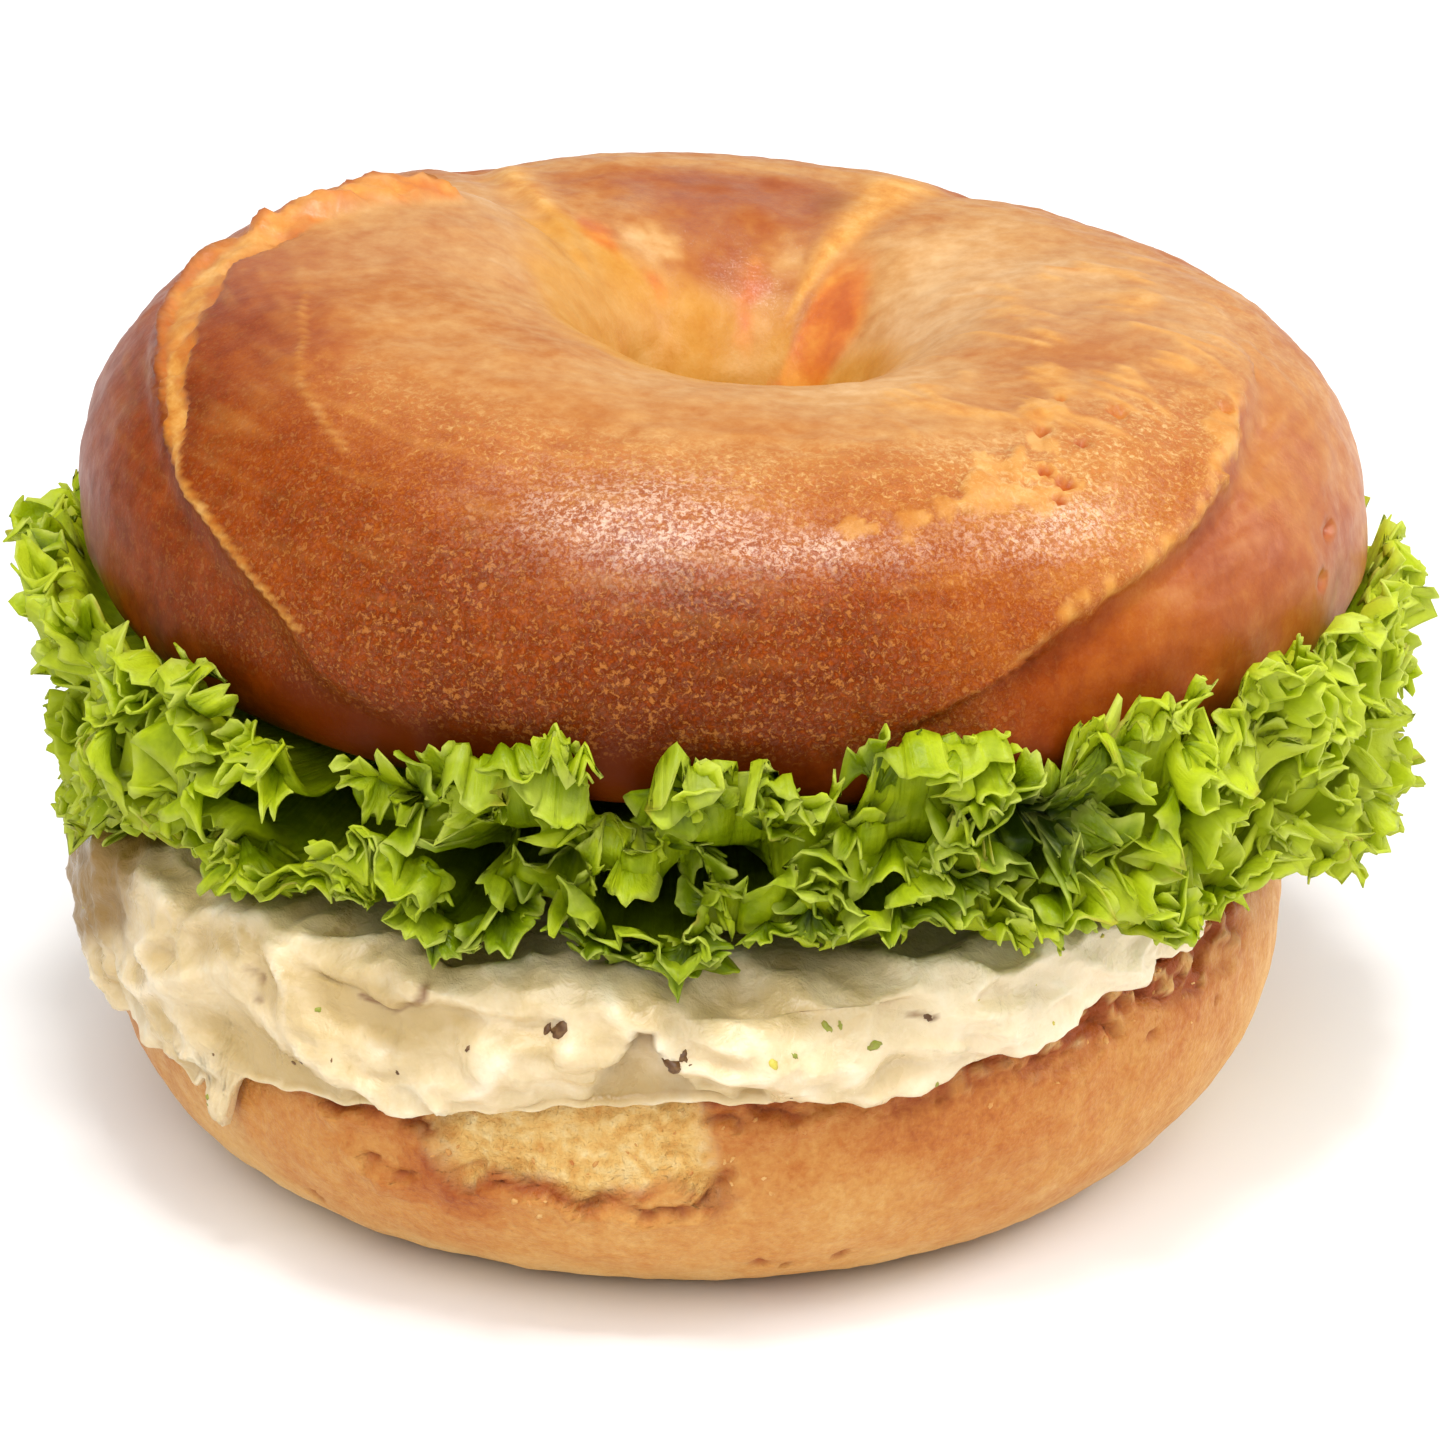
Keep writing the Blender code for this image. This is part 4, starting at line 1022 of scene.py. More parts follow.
def make_heel():
    """The heel, torn, cracked and pitted. It returns its side's points and the directions out of them."""
    theta = ring(HEEL_STEPS)
    rim = heel_cut(*from_heel(HEEL_RIM_RADIUS, theta))
    z_side = rim * (1 - np.cos(np.linspace(0, 0.5 * np.pi, HEEL_SIDE_ROWS)[None, :])) ** 0.8
    tear = heel_tear(theta, z_side)
    r_side = heel_side(theta, z_side) - TEAR_DEPTH * tear
    hole = HEEL_HOLE_RADIUS + ripple(theta, 7, 2, 4, 0.5)
    share = np.linspace(0, 1, 14)[None, 1:]
    r_cut = r_side[:, -1:] * (1 - share) + (hole + 1) * share
    r_bore = hole + np.array([[0, 0.3, 0.6, 1.2, 3.5]])
    z_bore = heel_cut(*from_heel(hole, theta)) * np.array([[0.86, 0.6, 0.4, 0.15, 0]])
    inner = hole + 3.5
    r_base = inner + (r_side[:, :1] - inner) * np.linspace(0, 1, 8)[None, 1:-1]
    radius = np.concatenate([r_side, r_cut, r_bore, r_base], axis=1)
    x, y = from_heel(radius, theta)
    z = np.concatenate([z_side, 0 * r_cut, z_bore, 0 * r_base], axis=1)
    side, cut = HEEL_SIDE_ROWS, HEEL_SIDE_ROWS + r_cut.shape[1]
    z[:, side:cut] = heel_cut(x[:, side:cut], y[:, side:cut])
    base = np.stack([x, y, z], axis=-1)
    normal = grid_normals(base, True)
    theta = np.broadcast_to(theta, radius.shape)

    on_side = in_rows(radius.shape, slice(side), smooth(0, 2.5, z_side))
    on_cut = in_rows(radius.shape, slice(side, cut), 1)
    torn = in_rows(radius.shape, slice(side), tear)
    crumbly = layered(base, 2.4, 61, 3)
    wobble, fine = noise(base, 4, 66), noise(base, 1.5, 67)
    crack, flap, pit = np.zeros((3, *radius.shape))
    for line in CRACKS:
        away = from_line(theta, z, line, HEEL_RIM_RADIUS) + wobble + 0.9 * fine
        crack = np.maximum(crack, hump(away, 0, np.maximum(0.55 + 0.35 * fine, 0.2)))
        flap = np.maximum(flap, hump(away, -1.3, 0.9))
    crack, flap = crack * smooth(-0.35, 0.1, noise(base, 2.4, 69)) * on_side, flap * on_side
    for heading, height, size in HEEL_PITS:
        away = np.hypot(turn(theta, heading) * HEEL_RIM_RADIUS, z - height)
        pit = np.maximum(pit, smooth(1.25, 0.7, away / size + 0.7 * fine))
    pit = pit * on_side
    # on the right the crust is frayed under the filling
    shreds = layered(base, 1.7, 68, 2)
    frayed = near(theta, -44, 0.4) * smooth(5.4, 2.6, rim - z + 3.2 * wobble)
    frayed = frayed * on_side * (1 - torn)
    cut_back = near(theta, -42, 0.36)
    tear_edge = torn * (1 - torn) * 4

    rise = 0.4 * noise(base, 13, 62) + 0.22 * noise(base, 4.5, 63) + 0.1 * noise(base, 1.8, 64)
    rise = sum([
        rise * on_side * (1 - 0.5 * torn), 0.8 * torn * on_side * crumbly, -0.5 * pit,
        -(0.8 * crack - 0.55 * flap * (0.7 + wobble)) * (1 - 0.85 * cut_back),
        -frayed * (0.2 - 2.4 * np.minimum(shreds, 0) - 0.9 * np.maximum(shreds, 0)),
        0.35 * tear_edge * on_side * (0.4 + crumbly), 0.35 * on_cut * crumbly,
    ])
    points = base + normal * rise[..., None]
    points[..., 2] = np.maximum(points[..., 2], 0)

    bake_and_painted_light = sum([
        0.5, 0.16 * smooth(9, 20, z), -0.25 * smooth(8, 2, z), 0.14 * noise(base, 20, 65),
        # painted reflection: the near(theta, -8) term on the next line makes the right edge paler
        0.1 * near(theta, -50, 0.45), -0.12 * near(theta, -140, 0.3), -0.2 * near(theta, -8, 0.35),
        0.3 * smooth(3, 0.5, rim - z), 0.2 * smooth(4, 1, np.abs(z - 13.2)) * near(theta, -112, 0.12),
        0.18 * near(theta, -116, 0.1) * smooth(15, 19, z),
        0.3 * frayed, 0.3 * tear_edge * on_side * smooth(-0.2, 0.3, wobble),
    ])
    crumb = np.maximum(torn * smooth(0.15, 0.55, torn), on_cut)
    crumb = np.maximum(crumb, 0.65 * frayed * smooth(0.1, 0.3, shreds + 0.3 * fine))
    crumb = crumb * (1 - 0.5 * smooth(0.25, 0.7, wobble) * on_side)
    crumb[:, cut:cut + 4] = 0.5
    dark = np.maximum.reduce([
        0.6 * tear_edge * smooth(17, 14, z), 0.8 * pit, 0.85 * crack * (1 - 0.7 * cut_back),
        0.6 * frayed * smooth(0, -0.22, shreds),
    ])
    faces = [grid_faces(HEEL_STEPS, radius.shape[1], True, True)]
    marks = {"bake_and_painted_light": bake_and_painted_light, "crumb": crumb, "dark": dark}
    add_piece("heel", points, faces, marks, heel_look(), "bagel_heel")
    return points[:, :side], grid_normals(points, True)[:, :side]


# Thin brown streaks in the filling: (degrees round the ring, height in millimetres)
STREAKS = [
    [(-129.6, 29.6), (-128.6, 28.4), (-128.8, 27)],
    [(-118.5, 30.2), (-115.4, 29.4), (-113.2, 30.4), (-112, 32.2)],
    [(-72, 31), (-70, 30.2)], [(40, 28), (44, 29.5)], [(130, 27), (134, 28.5)],
]
# Lumps that stand out of the filling: degrees round the ring, height, half width, half height and depth
LUMPS = [
    (-115.4, 31.8, 3.4, 2.2, 1.3), (-156, 19.5, 2.2, 1.4, 1.2), (-139, 26.5, 4, 3, 0.9),
    (-104, 27.5, 6, 2.4, 0.9),
    (-84, 28.5, 5, 3.5, 1.2), (-66, 28.5, 6, 2.6, 0.9), (30, 28, 5, 3, 1), (75, 27, 6, 3, 1.2),
    (120, 27, 5, 3, 1.1), (165, 25, 4.5, 2.6, 1),
]
# The wedge at the front where the filling is thin: degrees round the ring, half width and its top
WEDGE = (-93.9, 3.7, 30.6)
# Thin drips at the left: degrees round the ring, length and half width in degrees
THIN_DRIPS = [(-135.4, 5.4, 1.7), (-139.4, 2.6, 1.3)]
# Rings of the underside and of the top, outermost first for the top
UNDER_RADII = (2, 12, 26, 40)
TOP_RADII = (46, 40, 32, 22, 12, 2)


def make_filling():
    """The spread, lumpy and ragged at its lower edge. It returns its wall as make_heel does its side."""
    theta = ring(FILLING_STEPS)
    around = np.concatenate([55 * np.cos(theta), 55 * np.sin(theta), 0 * theta], axis=1)
    ragged = (0.9 * noise(around, 6, 70) + 0.55 * noise(around, 2.5, 71))[:, None]
    drip = sum(
        depth * hump(np.degrees(turn(theta, heading)), 0, width) for heading, depth, width in THIN_DRIPS)
    drop = np.maximum(filling_drop(theta) + 0.9 * ragged + drip, 0.1)
    rim = heel_cut(*from_heel(HEEL_RIM_RADIUS, theta))
    low = rim + FILLING_GAP - drop
    side = [heel_side(theta, height) for height in (rim, low, np.maximum(low, HEEL_WIDE_Z))]
    side = np.maximum.reduce(side) + FILLING_GAP
    bulge = filling_radius(theta) + 0.5 * ragged
    bulge = np.maximum(bulge, side + 1.5 - 6 * (1 - near(theta, -136.5, 0.17)))
    lip = rim + FILLING_GAP - drop * smooth(0.9, 1.4, bulge - side)
    wall = np.minimum(side, bulge - 1)
    crest = filling_top(*from_heel(bulge * 0.9, theta))
    rows_r = [radius + 0 * theta for radius in UNDER_RADII] + [0.5 * (40 + wall), wall]
    rows_z = [heel_cut(*from_heel(radius, theta)) + FILLING_GAP for radius in rows_r]
    for share in (0.5, 1):
        rows_r.append(wall + 0.1 * share)
        rows_z.append(rows_z[5] * (1 - share) + (lip + 0.5) * share)
    first_wall = len(rows_r)
    for share in np.linspace(0, 1, FILLING_ROWS):
        angle = math.pi * (share - 0.5)
        swing = np.cos(angle) ** 0.45 if abs(share - 0.5) < 0.499 else 0
        rows_r.append(wall + 0.3 + (bulge + 0.2 - wall) * swing - 4 * smooth(0.72, 1, share) * share)
        rows_z.append(lip + (crest - lip) * (0.5 + 0.5 * math.sin(angle)))
    last_wall = len(rows_r)
    for radius in TOP_RADII:
        rows_r.append(radius + 0 * theta)
        rows_z.append(filling_top(*from_heel(radius, theta)))
    radius, z = np.hstack(rows_r), np.hstack(rows_z)
    base = np.stack([*from_heel(radius, theta), z], axis=-1)
    normal = grid_normals(base, False)
    theta = np.broadcast_to(theta, radius.shape)
    spread = smooth(0, 0.12, np.linspace(0, 1, FILLING_ROWS)[None, :])
    on_wall = in_rows(radius.shape, slice(first_wall, last_wall), spread)
    on_wall[:, last_wall:] = 0.3

    # smeared folds with soft crests, finer ones over them, and the lumps and the wedge that show in front
    drift = np.stack([noise(base, 9, seed) for seed in (76, 77, 78)], axis=-1)
    smeared = base * np.array([1, 1, 1.5]) + 3.5 * drift + base[..., 2:3] * np.array([0.5, 0.3, 0])
    folds, small, tiny = (
        1 - 2.2 * np.abs(noise(smeared, size, seed)) for size, seed in ((13, 72), (6, 73), (2.9, 82)))
    lump, streak = np.zeros((2, *radius.shape))
    for heading, height, half_width, half_height, depth in LUMPS:
        across = turn(theta, heading) * FILLING_RADIUS / half_width
        away = np.hypot(across, (z - height) / half_height) + 0.25 * noise(base, 2.5, 79)
        lump = np.maximum(lump, depth * smooth(1.25, 0.55, away))
    heading, half_width, top = WEDGE
    across = turn(theta, heading) * FILLING_RADIUS + 0.8 * noise(base, 2.5, 80)
    narrow = half_width * (1 - 0.75 * smooth(top - 6, top, z))
    wedge = smooth(1.15, 0.85, np.abs(across) / narrow) * smooth(top + 0.6, top - 0.6, z)
    for line in STREAKS:
        away = from_line(theta, z, line, FILLING_RADIUS) + 0.5 * noise(base, 2, 81)
        streak = np.maximum(streak, smooth(0.4, 0.1, np.abs(away)) * smooth(-0.6, 0.2, noise(base, 1.6, 84)))
    rise = sum([
        1.7 * (folds - 0.55), 0.85 * (small - 0.55), 0.28 * (tiny - 0.55), 0.12 * layered(base, 1.8, 75, 2),
        lump, -1.9 * wedge, -0.3 * streak,
    ])
    rise = rise * (1 - 0.55 * near(theta, -170, 0.28))
    # low down the wall stays outside the rows within it
    room = np.maximum(radius - wall - 0.3, 0)
    room[:, first_wall + int(0.7 * FILLING_ROWS):] = 10
    rise = np.maximum(rise, -0.7 * room)
    points = base + normal * (rise * on_wall)[..., None]

    # painted shade in the hollows of the folds and by the drips at the left, less on the right under the
    # lettuce
    hollow = smooth(0.45, -0.25, folds) + 0.5 * smooth(0.4, -0.1, small) + 0.22 * near(theta, -134, 0.34)
    hollow = np.clip(hollow, 0, 1) * (1 - 0.7 * near(theta, -56, 0.5))
    # the left end and the wedge get an olive tint, partly painted shade
    heading = np.degrees(turn(theta, -161)) + 2.5 * noise(base, 5, 83)
    left_end = window(heading, -46, -10, 10, 17) * smooth(-1.5, 2, z - 19.5 - 0.45 * np.maximum(heading, -8))
    olive_tint_and_painted_shade = np.maximum(wedge * (0.4 + 0.5 * smooth(top - 3, top, z)), 0.95 * left_end)
    # painted highlight on the crests of the folds, and painted light on the right under the lettuce
    crest = np.maximum(smooth(0.75, 1, folds) * smooth(0.3, 0.9, small), 0.8 * near(theta, -50, 0.42))
    marks = {"hollow": hollow, "olive_tint_and_painted_shade": olive_tint_and_painted_shade, "brown": 0.8 * streak, "crest": crest}
    marks = {mark: np.append(values * on_wall, [0, 0]) for mark, values in marks.items()}
    rows = radius.shape[1]
    ends = np.vstack([points[:, 0].mean(axis=0), points[:, -1].mean(axis=0)])
    i = np.arange(FILLING_STEPS)
    after = (i + 1) % FILLING_STEPS
    last = np.full(FILLING_STEPS, FILLING_STEPS * rows)
    first_cap = np.stack([last, after * rows, i * rows], axis=-1)
    last_cap = np.stack([last + 1, i * rows + rows - 1, after * rows + rows - 1], axis=-1)
    faces = [grid_faces(FILLING_STEPS, rows, True, False), first_cap, last_cap]
    grid = np.vstack([points.reshape(-1, 3), ends])
    add_piece("filling", grid, faces, marks, filling_look(), "creamy_filling")
    return points[:, first_wall:last_wall], grid_normals(points, False)[:, first_wall:last_wall]


# Specks in the filling: degrees round the ring, height and length in millimetres, and tint
BROWN, GREEN, YELLOW = 0, 0.5, 1
SPECKS = [
    (-100.6, 31.1, 2.9, BROWN), (-101.4, 30.8, 1.6, BROWN), (-91.6, 28.1, 2, BROWN), (-90.6, 29, 1.1, BROWN),
    (-75.4, 29.1, 1.2, GREEN), (-78.8, 31.7, 1.3, GREEN), (-77.6, 32, 0.9, GREEN), (-83.6, 29, 1, YELLOW),
    (-70.2, 30.4, 0.9, BROWN),
]
MORE_SPECKS = 46
# Lengths of the other specks and of the crumbs
SMALLEST, LARGEST = 0.3, 0.75
CRUMBS = 60
# Where crumbs lie: degrees round the ring, spread in degrees and how far below the heel's rim
CRUMB_SPOTS = [(-108, 8, 6), (-89, 5, 4), (-98, 9, 7), (-48, 8, 1.8), (-38, 6, 1.8)]


def row_at(surface, heading, height):
    """The column and row of a surface that lie at a heading in degrees and a height."""
    column = int(round(heading / 360 * len(surface))) % len(surface)
    return column, int(np.argmin(np.abs(surface[column, :, 2] - height)))


def blobs(surface, outward, picks, seed):
    """Small uneven lumps, longer than thick, half sunk into a surface: points and faces. Each pick is a
    column and a row of the surface and a length."""
    rng = np.random.default_rng(seed)
    column, row, sizes = np.array(picks, dtype=float).T
    column, row = column.astype(int), row.astype(int)
    places, normals = surface[column, row], unit(outward[column, row])
    many, round_steps, over_steps = len(picks), 12, 7
    theta = np.linspace(0, 2 * np.pi, round_steps, endpoint=False)[None, :, None]
    phi = np.linspace(np.pi - 0.35, 0.35, over_steps)[None, None, :]
    ball = np.sin(phi) * np.cos(theta), np.sin(phi) * np.sin(theta), np.cos(phi)
    ball = np.stack(np.broadcast_arrays(*ball), axis=-1)
    uneven = rng.uniform(0.86, 1.16, (many, round_steps, over_steps))
    uneven = uneven * rng.uniform(0.8, 1.2, (many, round_steps, 1))
    ball = ball * uneven[..., None]
    first = unit(np.cross(normals, rng.normal(0, 1, (many, 3))))
    second = np.cross(normals, first)
    half = 0.5 * sizes[:, None, None, None]
    stretch = rng.uniform(0.45, 0.75, many)[:, None, None, None]
    lengthways, across = ball[..., :1] * half, ball[..., 1:2] * half * stretch
    made = lengthways * first[:, None, None] + across * second[:, None, None]
    made = made + (0.5 * ball[..., 2:] - 0.2) * half * normals[:, None, None]
    start = (np.arange(many) * round_steps * over_steps)[:, None]
    sides = grid_faces(round_steps, over_steps, True, False)[None] + start[..., None]
    below = start + over_steps * np.arange(round_steps)[None, ::-1]
    above = start + over_steps * np.arange(round_steps)[None, :] + over_steps - 1
    return (places[:, None, None] + made).reshape(-1, 3), [sides.reshape(-1, 4), below, above]


def make_specks(wall, outward):
    """Herb and pepper specks in the filling."""
    rng = np.random.default_rng(90)
    low_rows = wall[:, :int(0.6 * FILLING_ROWS) + 1]
    picks = [(*row_at(low_rows, heading, height), size, tint) for heading, height, size, tint in SPECKS]
    for _ in range(MORE_SPECKS):
        column = rng.integers(0, len(wall))
        row = rng.integers(int(0.1 * FILLING_ROWS), int(0.7 * FILLING_ROWS))
        picks.append((column, row, rng.uniform(SMALLEST, LARGEST), 0.5 * rng.integers(0, 3)))
    grid, faces = blobs(wall, outward, [pick[:3] for pick in picks], 91)
    tint = np.repeat([pick[3] for pick in picks], len(grid) // len(picks))
    look = Look("specks")
    shade = look.ramp(
        *look.marks("tint"), (BROWN, 92, 58, 24), (GREEN, 146, 152, 52), (YELLOW, 212, 198, 76))
    shade = look.mix(look.span(look.noise(0.6, 3), 0.4, 0.7, 0, 0.45), shade, (150, 112, 62))
    look.set(Base_Color=shade, Roughness=0.5)
    add_piece("herb_specks", grid, faces, {"tint": tint}, look.material, None)


def make_crumbs(side, outward):
    """Bread crumbs and small flakes of crust round the torn patch and the frayed edge of the heel."""
    rng = np.random.default_rng(95)
    picks = []
    for index in range(CRUMBS):
        heading, spread, low = CRUMB_SPOTS[index % len(CRUMB_SPOTS)]
        heading = heading + rng.normal(0, spread)
        column, _ = row_at(side, heading, 0)
        height = side[column, -1, 2] - abs(rng.normal(low, 2))
        picks.append((*row_at(side, heading, height), rng.uniform(SMALLEST, LARGEST)))
    grid, faces = blobs(side, outward, picks, 96)
    look = Look("crumbs")
    shade = look.ramp(look.noise(1.4, 3), (0.35, 196, 124, 56), (0.5, 212, 156, 84), (0.65, 228, 184, 116))
    look.set(Base_Color=shade, Roughness=0.7)
    add_piece("crumbs", grid, faces, {}, look.material, None)


def teeth(arc, seed):
    """How far the pointed teeth of a leaf stand out at each place along its edge, from 0 to 1."""
    rng = np.random.default_rng(seed)
    height = np.zeros_like(arc)
    at = -2
    while at < arc[-1] + 4:
        width, tall, skew = rng.uniform(1.1, 2.4), rng.uniform(0.3, 1), rng.uniform(-0.35, 0.35)
        away = (arc - at) / width
        away = np.abs(away + skew * away * np.abs(away))
        height = np.maximum(height, tall * np.clip(1 - away, 0, 1) ** 1.5)
        at += width * rng.uniform(0.9, 1.6)
    return height


def travelled(points):
    """Distance along a row of points."""
    return np.concatenate([[0], np.cumsum(np.linalg.norm(np.diff(points, axis=0), axis=-1))])


def frilled(points, t, shape, seed):
    """Fold a sheet into frills that grow towards its edge."""
    length, height, curl, start = shape
    arc = travelled(points[:, -1])[:, None]
    along = unit(np.gradient(points, axis=0))
    up = unit(np.cross(along, unit(np.gradient(points, axis=1))))
    place = np.stack(np.broadcast_arrays(arc, LEAF_BORDER * 2 * (1 - t), 0 * t), axis=-1)
    phase = 2 * np.pi * arc / length + 2.2 * noise(place, 2 * length, seed)
    grow = smooth(start, 1, t) * (0.75 + 0.7 * noise(place + 40, 1.6 * length, seed + 1))
    move = up * (height * grow * np.sin(phase))[..., None]
    return points + move - along * (curl * height * grow * np.sin(2 * phase))[..., None]


def leaf_limits(x, y):
    """Lowest and highest place for frills, and the same with the edges that show at the front."""
    theta = np.arctan2(y, x - LEAF_OFFSET_X)
    reach = np.hypot(x - LEAF_OFFSET_X, y)
    outside = smooth(55, 59, reach)
    short = 1 - near(theta, -90, 0.2) - near(theta, -56, 0.22)
    front = near(theta, -90, 1.2)
    low = leaf_floor(x, y) - 0.6 + outside * (LEAF_SHORT * short * front - 0.6)
    tall = 0.4 * smooth(0.3, -0.1, np.sin(theta)) + 0.6 * front
    high = leaf_ceiling(x, y) + 0.6 + TALL_TIPS * outside * tall
    high = high - outside * (4 * near(theta, 8, 0.28) + 2.6 * near(theta, 173, 0.28))
    heading = np.degrees(np.arctan2(y - MIDDLE_Y, x - MIDDLE_X))
    shows = window(heading, -158, -146, -32, -24)
    low_line, high_line = (np.interp(heading, *np.array(edge).T) for edge in (LOW_EDGE, HIGH_EDGE))
    low_front = low + shows * smooth(51, 56, reach) * (low_line - low)
    return low, high, low_front, high + shows * outside * (high_line - high)


def inside_pocket(theta, z, pocket):
    """How far inside a dark gap between the frills, from 0 to 1."""
    heading, height, half_width, half_height = pocket
    return near(theta, heading, math.radians(half_width)) * hump(z, height, half_height)


def kept_between(points, on_leaf):
    """Points moved softly to stay between the filling and the crown and within the leaves' reach."""
    x, y, z = points[..., 0] - LEAF_OFFSET_X, points[..., 1], points[..., 2]
    reach, theta = np.hypot(x, y), np.arctan2(y, x)
    around = np.stack([60 * np.cos(theta), 60 * np.sin(theta), z], axis=-1)
    most = sum([
        LEAF_MOST_REACH, np.cos(theta) ** 2, -BACK_INSET * smooth(-0.06, 0.26, np.sin(theta)),
        -NOTCH_DEPTH * smooth(-0.1, 0.4, noise(around, NOTCH_LENGTH, 710)),
        -1.2 * smooth(-0.1, 0.3, noise(around, 3, 711)),
        -LEFT_SLOPE * near(theta, 178, 0.7) * smooth(48, 38, z),
        -POCKET_DEPTH * np.minimum(sum(inside_pocket(theta, z, pocket) for pocket in POCKETS), 1),
    ])
    past = np.maximum(reach - (most - 6), 0)
    shrink = (reach - past + 6 * np.tanh(past / 6)) / reach
    x, y = x * shrink + LEAF_OFFSET_X, y * shrink
    low, high, low_front, high_front = leaf_limits(x, y)
    if on_leaf:
        low, high = low_front, high_front = low_front - 0.4, high_front + 0.4
    share = 2 * (z - low) / (high - low) - 1
    share = share / (1 + np.abs(share) ** 5) ** 0.2
    place = np.stack([x, y, 0 * x], axis=-1)
    swing = np.degrees(np.arctan2(y, x)) / TOOTH_SPACING + 0.7 * noise(place, 5, 712)
    tooth = (0.65 - np.abs(np.sin(np.pi * swing))) * smooth(54, 58, reach * shrink)
    tooth = tooth * (1 + 1.6 * noise(place, 4, 713)) + 0.5 * noise(place, 6, 714)
    z = low_front + (high_front - low_front) * (0.5 + 0.5 * share)
    z = z + JAGGED_TOP * tooth * smooth(0.5, 1, share) - JAGGED_FOOT * tooth * smooth(-0.5, -1, share)
    return np.stack([x, y, z], axis=-1)


def leaf_tone(theta, points):
    """How much paler the leaves are towards the sides, and the painted shade that darkens the biggest gap.
    """
    heading = np.arctan2(points[..., 1], points[..., 0])
    dark = POCKET_SHADE * inside_pocket(heading, points[..., 2], BIG_POCKET)
    return 0.5 * near(theta, -14, 0.8) + 0.26 * near(theta, -160, 0.7) - dark


def lobes(points, leaf):
    """Small fan-shaped lobes with pointed teeth that stand out of a leaf near its edge."""
    rng = np.random.default_rng(leaf["seed"] + 600)
    columns, rows = points.shape[:2]
    pick_u = np.linspace(0.012, 0.988, LOBES) + rng.uniform(-0.4, 0.4, LOBES) / LOBES
    at_edge = np.arange(LOBES) % 2 == 0
    pick_t = np.where(at_edge, rng.uniform(0.7, 0.95, LOBES), rng.uniform(0.5, 0.88, LOBES))
    column = np.clip((pick_u * (columns - 1)).astype(int), 0, columns - 1)
    row = np.clip((pick_t * (rows - 1)).astype(int), 0, rows - 1)
    base = points[column, row]
    theta = np.arctan2(base[:, 1], base[:, 0])
    low, high = leaf_floor(base[:, 0], base[:, 1]), leaf_ceiling(base[:, 0], base[:, 1])
    share = np.clip((base[:, 2] - low) / (high - low), 0, 1)
    way = np.where(rng.uniform(0, 1, LOBES) < 0.6, 1, -1) * (1 if leaf["layer"] else -1)
    turned, scattered = way * rng.uniform(25, 95, LOBES), -40 + 80 * share + rng.normal(0, 30, LOBES)
    tilt = np.radians(np.where(at_edge, turned, scattered))
    yaw = theta + np.radians(rng.normal(0, 22, LOBES))
    roll = np.radians(rng.normal(0, 28, LOBES))[:, None]
    out = np.stack([np.cos(tilt) * np.cos(yaw), np.cos(tilt) * np.sin(yaw), np.sin(tilt)], axis=-1)
    side = np.stack([-np.sin(yaw), np.cos(yaw), np.zeros(LOBES)], axis=-1)
    normal = np.cross(out, side)
    side, normal = side * np.cos(roll) + normal * np.sin(roll), normal * np.cos(roll) - side * np.sin(roll)

    def each(low, high):
        return rng.uniform(low, high, LOBES)[:, None, None]

    def wave(a, low, high):
        return np.sin(np.pi * a * each(low, high) + each(0, 6.3))

    a = np.linspace(-1, 1, LOBE_COLUMNS)[None, :, None]
    r = np.linspace(0.1, 1, LOBE_ROWS)[None, None, :]
    spread = each(0.7, 1.3)
    bend = a + 0.12 * wave(a, 1, 2)
    spike = 1 - np.abs(wave(0.5 * bend, 4.5, 8))
    spike = spike * (0.6 + 0.4 * wave(a / np.pi, 2, 5))
    notch = np.abs(wave(0.5 * bend, 1.6, 3.2)) ** 0.6
    room = (LEAF_MOST_REACH - np.hypot(base[:, 0], base[:, 1])) / np.maximum(np.cos(tilt), 0.45)
    size = (0.5 + 0.55 * rng.uniform(0, 1, LOBES) ** 1.5) * (1 + 0.3 * np.cos(theta) ** 4)
    size = size * (1 - 0.15 * near(theta, -95, 0.5))
    length = (np.clip(room, 3.4, 6.6) * size)[:, None, None]
    length = length * (0.74 + 0.26 * np.cos(0.5 * np.pi * a)) * (0.72 + 0.28 * notch)
    length = length * (1 + 0.46 * spike * r ** 4)
    frill = np.sin(np.pi * each(1.4, 2.8) * a + each(0, 6.3) + 0.8 * r)
    frill = frill + 0.22 * wave(a, 3.5, 6) * r ** 2
    lift = each(-2, 2) * r ** 2 + 0.36 * length * each(0.7, 1.2) * frill * r ** 1.6
    forward = (r * length * np.cos(spread * a))[..., None] * out[:, None, None]
    sideways = (r * length * np.sin(spread * a))[..., None] * side[:, None, None]
    made = base[:, None, None] + forward + sideways + lift[..., None] * normal[:, None, None]
    made = kept_between(made, True)
    tone = leaf_tone(theta[:, None, None], made) + each(-0.28, 0.2)
    return made, np.broadcast_to(0.12 + 0.88 * r ** 1.3, lift.shape), tone


def thick_sheets(points, edge):
    """Both sides and the rim of thin sheets that get thinner towards their edge, from one grid of points for
    each."""
    count, columns, rows = points.shape[:3]
    half = LEAF_HALF_THICK * (1 - 0.55 * smooth(0.6, 1, edge))[..., None]
    up = unit(np.cross(np.gradient(points, axis=1), np.gradient(points, axis=2)))
    both = np.stack([points + half * up, points - half * up], axis=1)
    below = columns * rows
    sheet = grid_faces(columns, rows, False, False)
    edge = np.concatenate([
        np.arange(columns) * rows, (columns - 1) * rows + np.arange(1, rows),
        np.arange(columns - 2, -1, -1) * rows + rows - 1, np.arange(rows - 2, 0, -1),
    ])
    after = np.roll(edge, -1)
    rim = np.stack([edge, edge + below, after + below, after], axis=-1)
    each = np.vstack([sheet, sheet[:, ::-1] + below, rim])
    faces = each[None] + (np.arange(count) * 2 * below)[:, None, None]
    return both.reshape(-1, 3), faces.reshape(-1, 4)


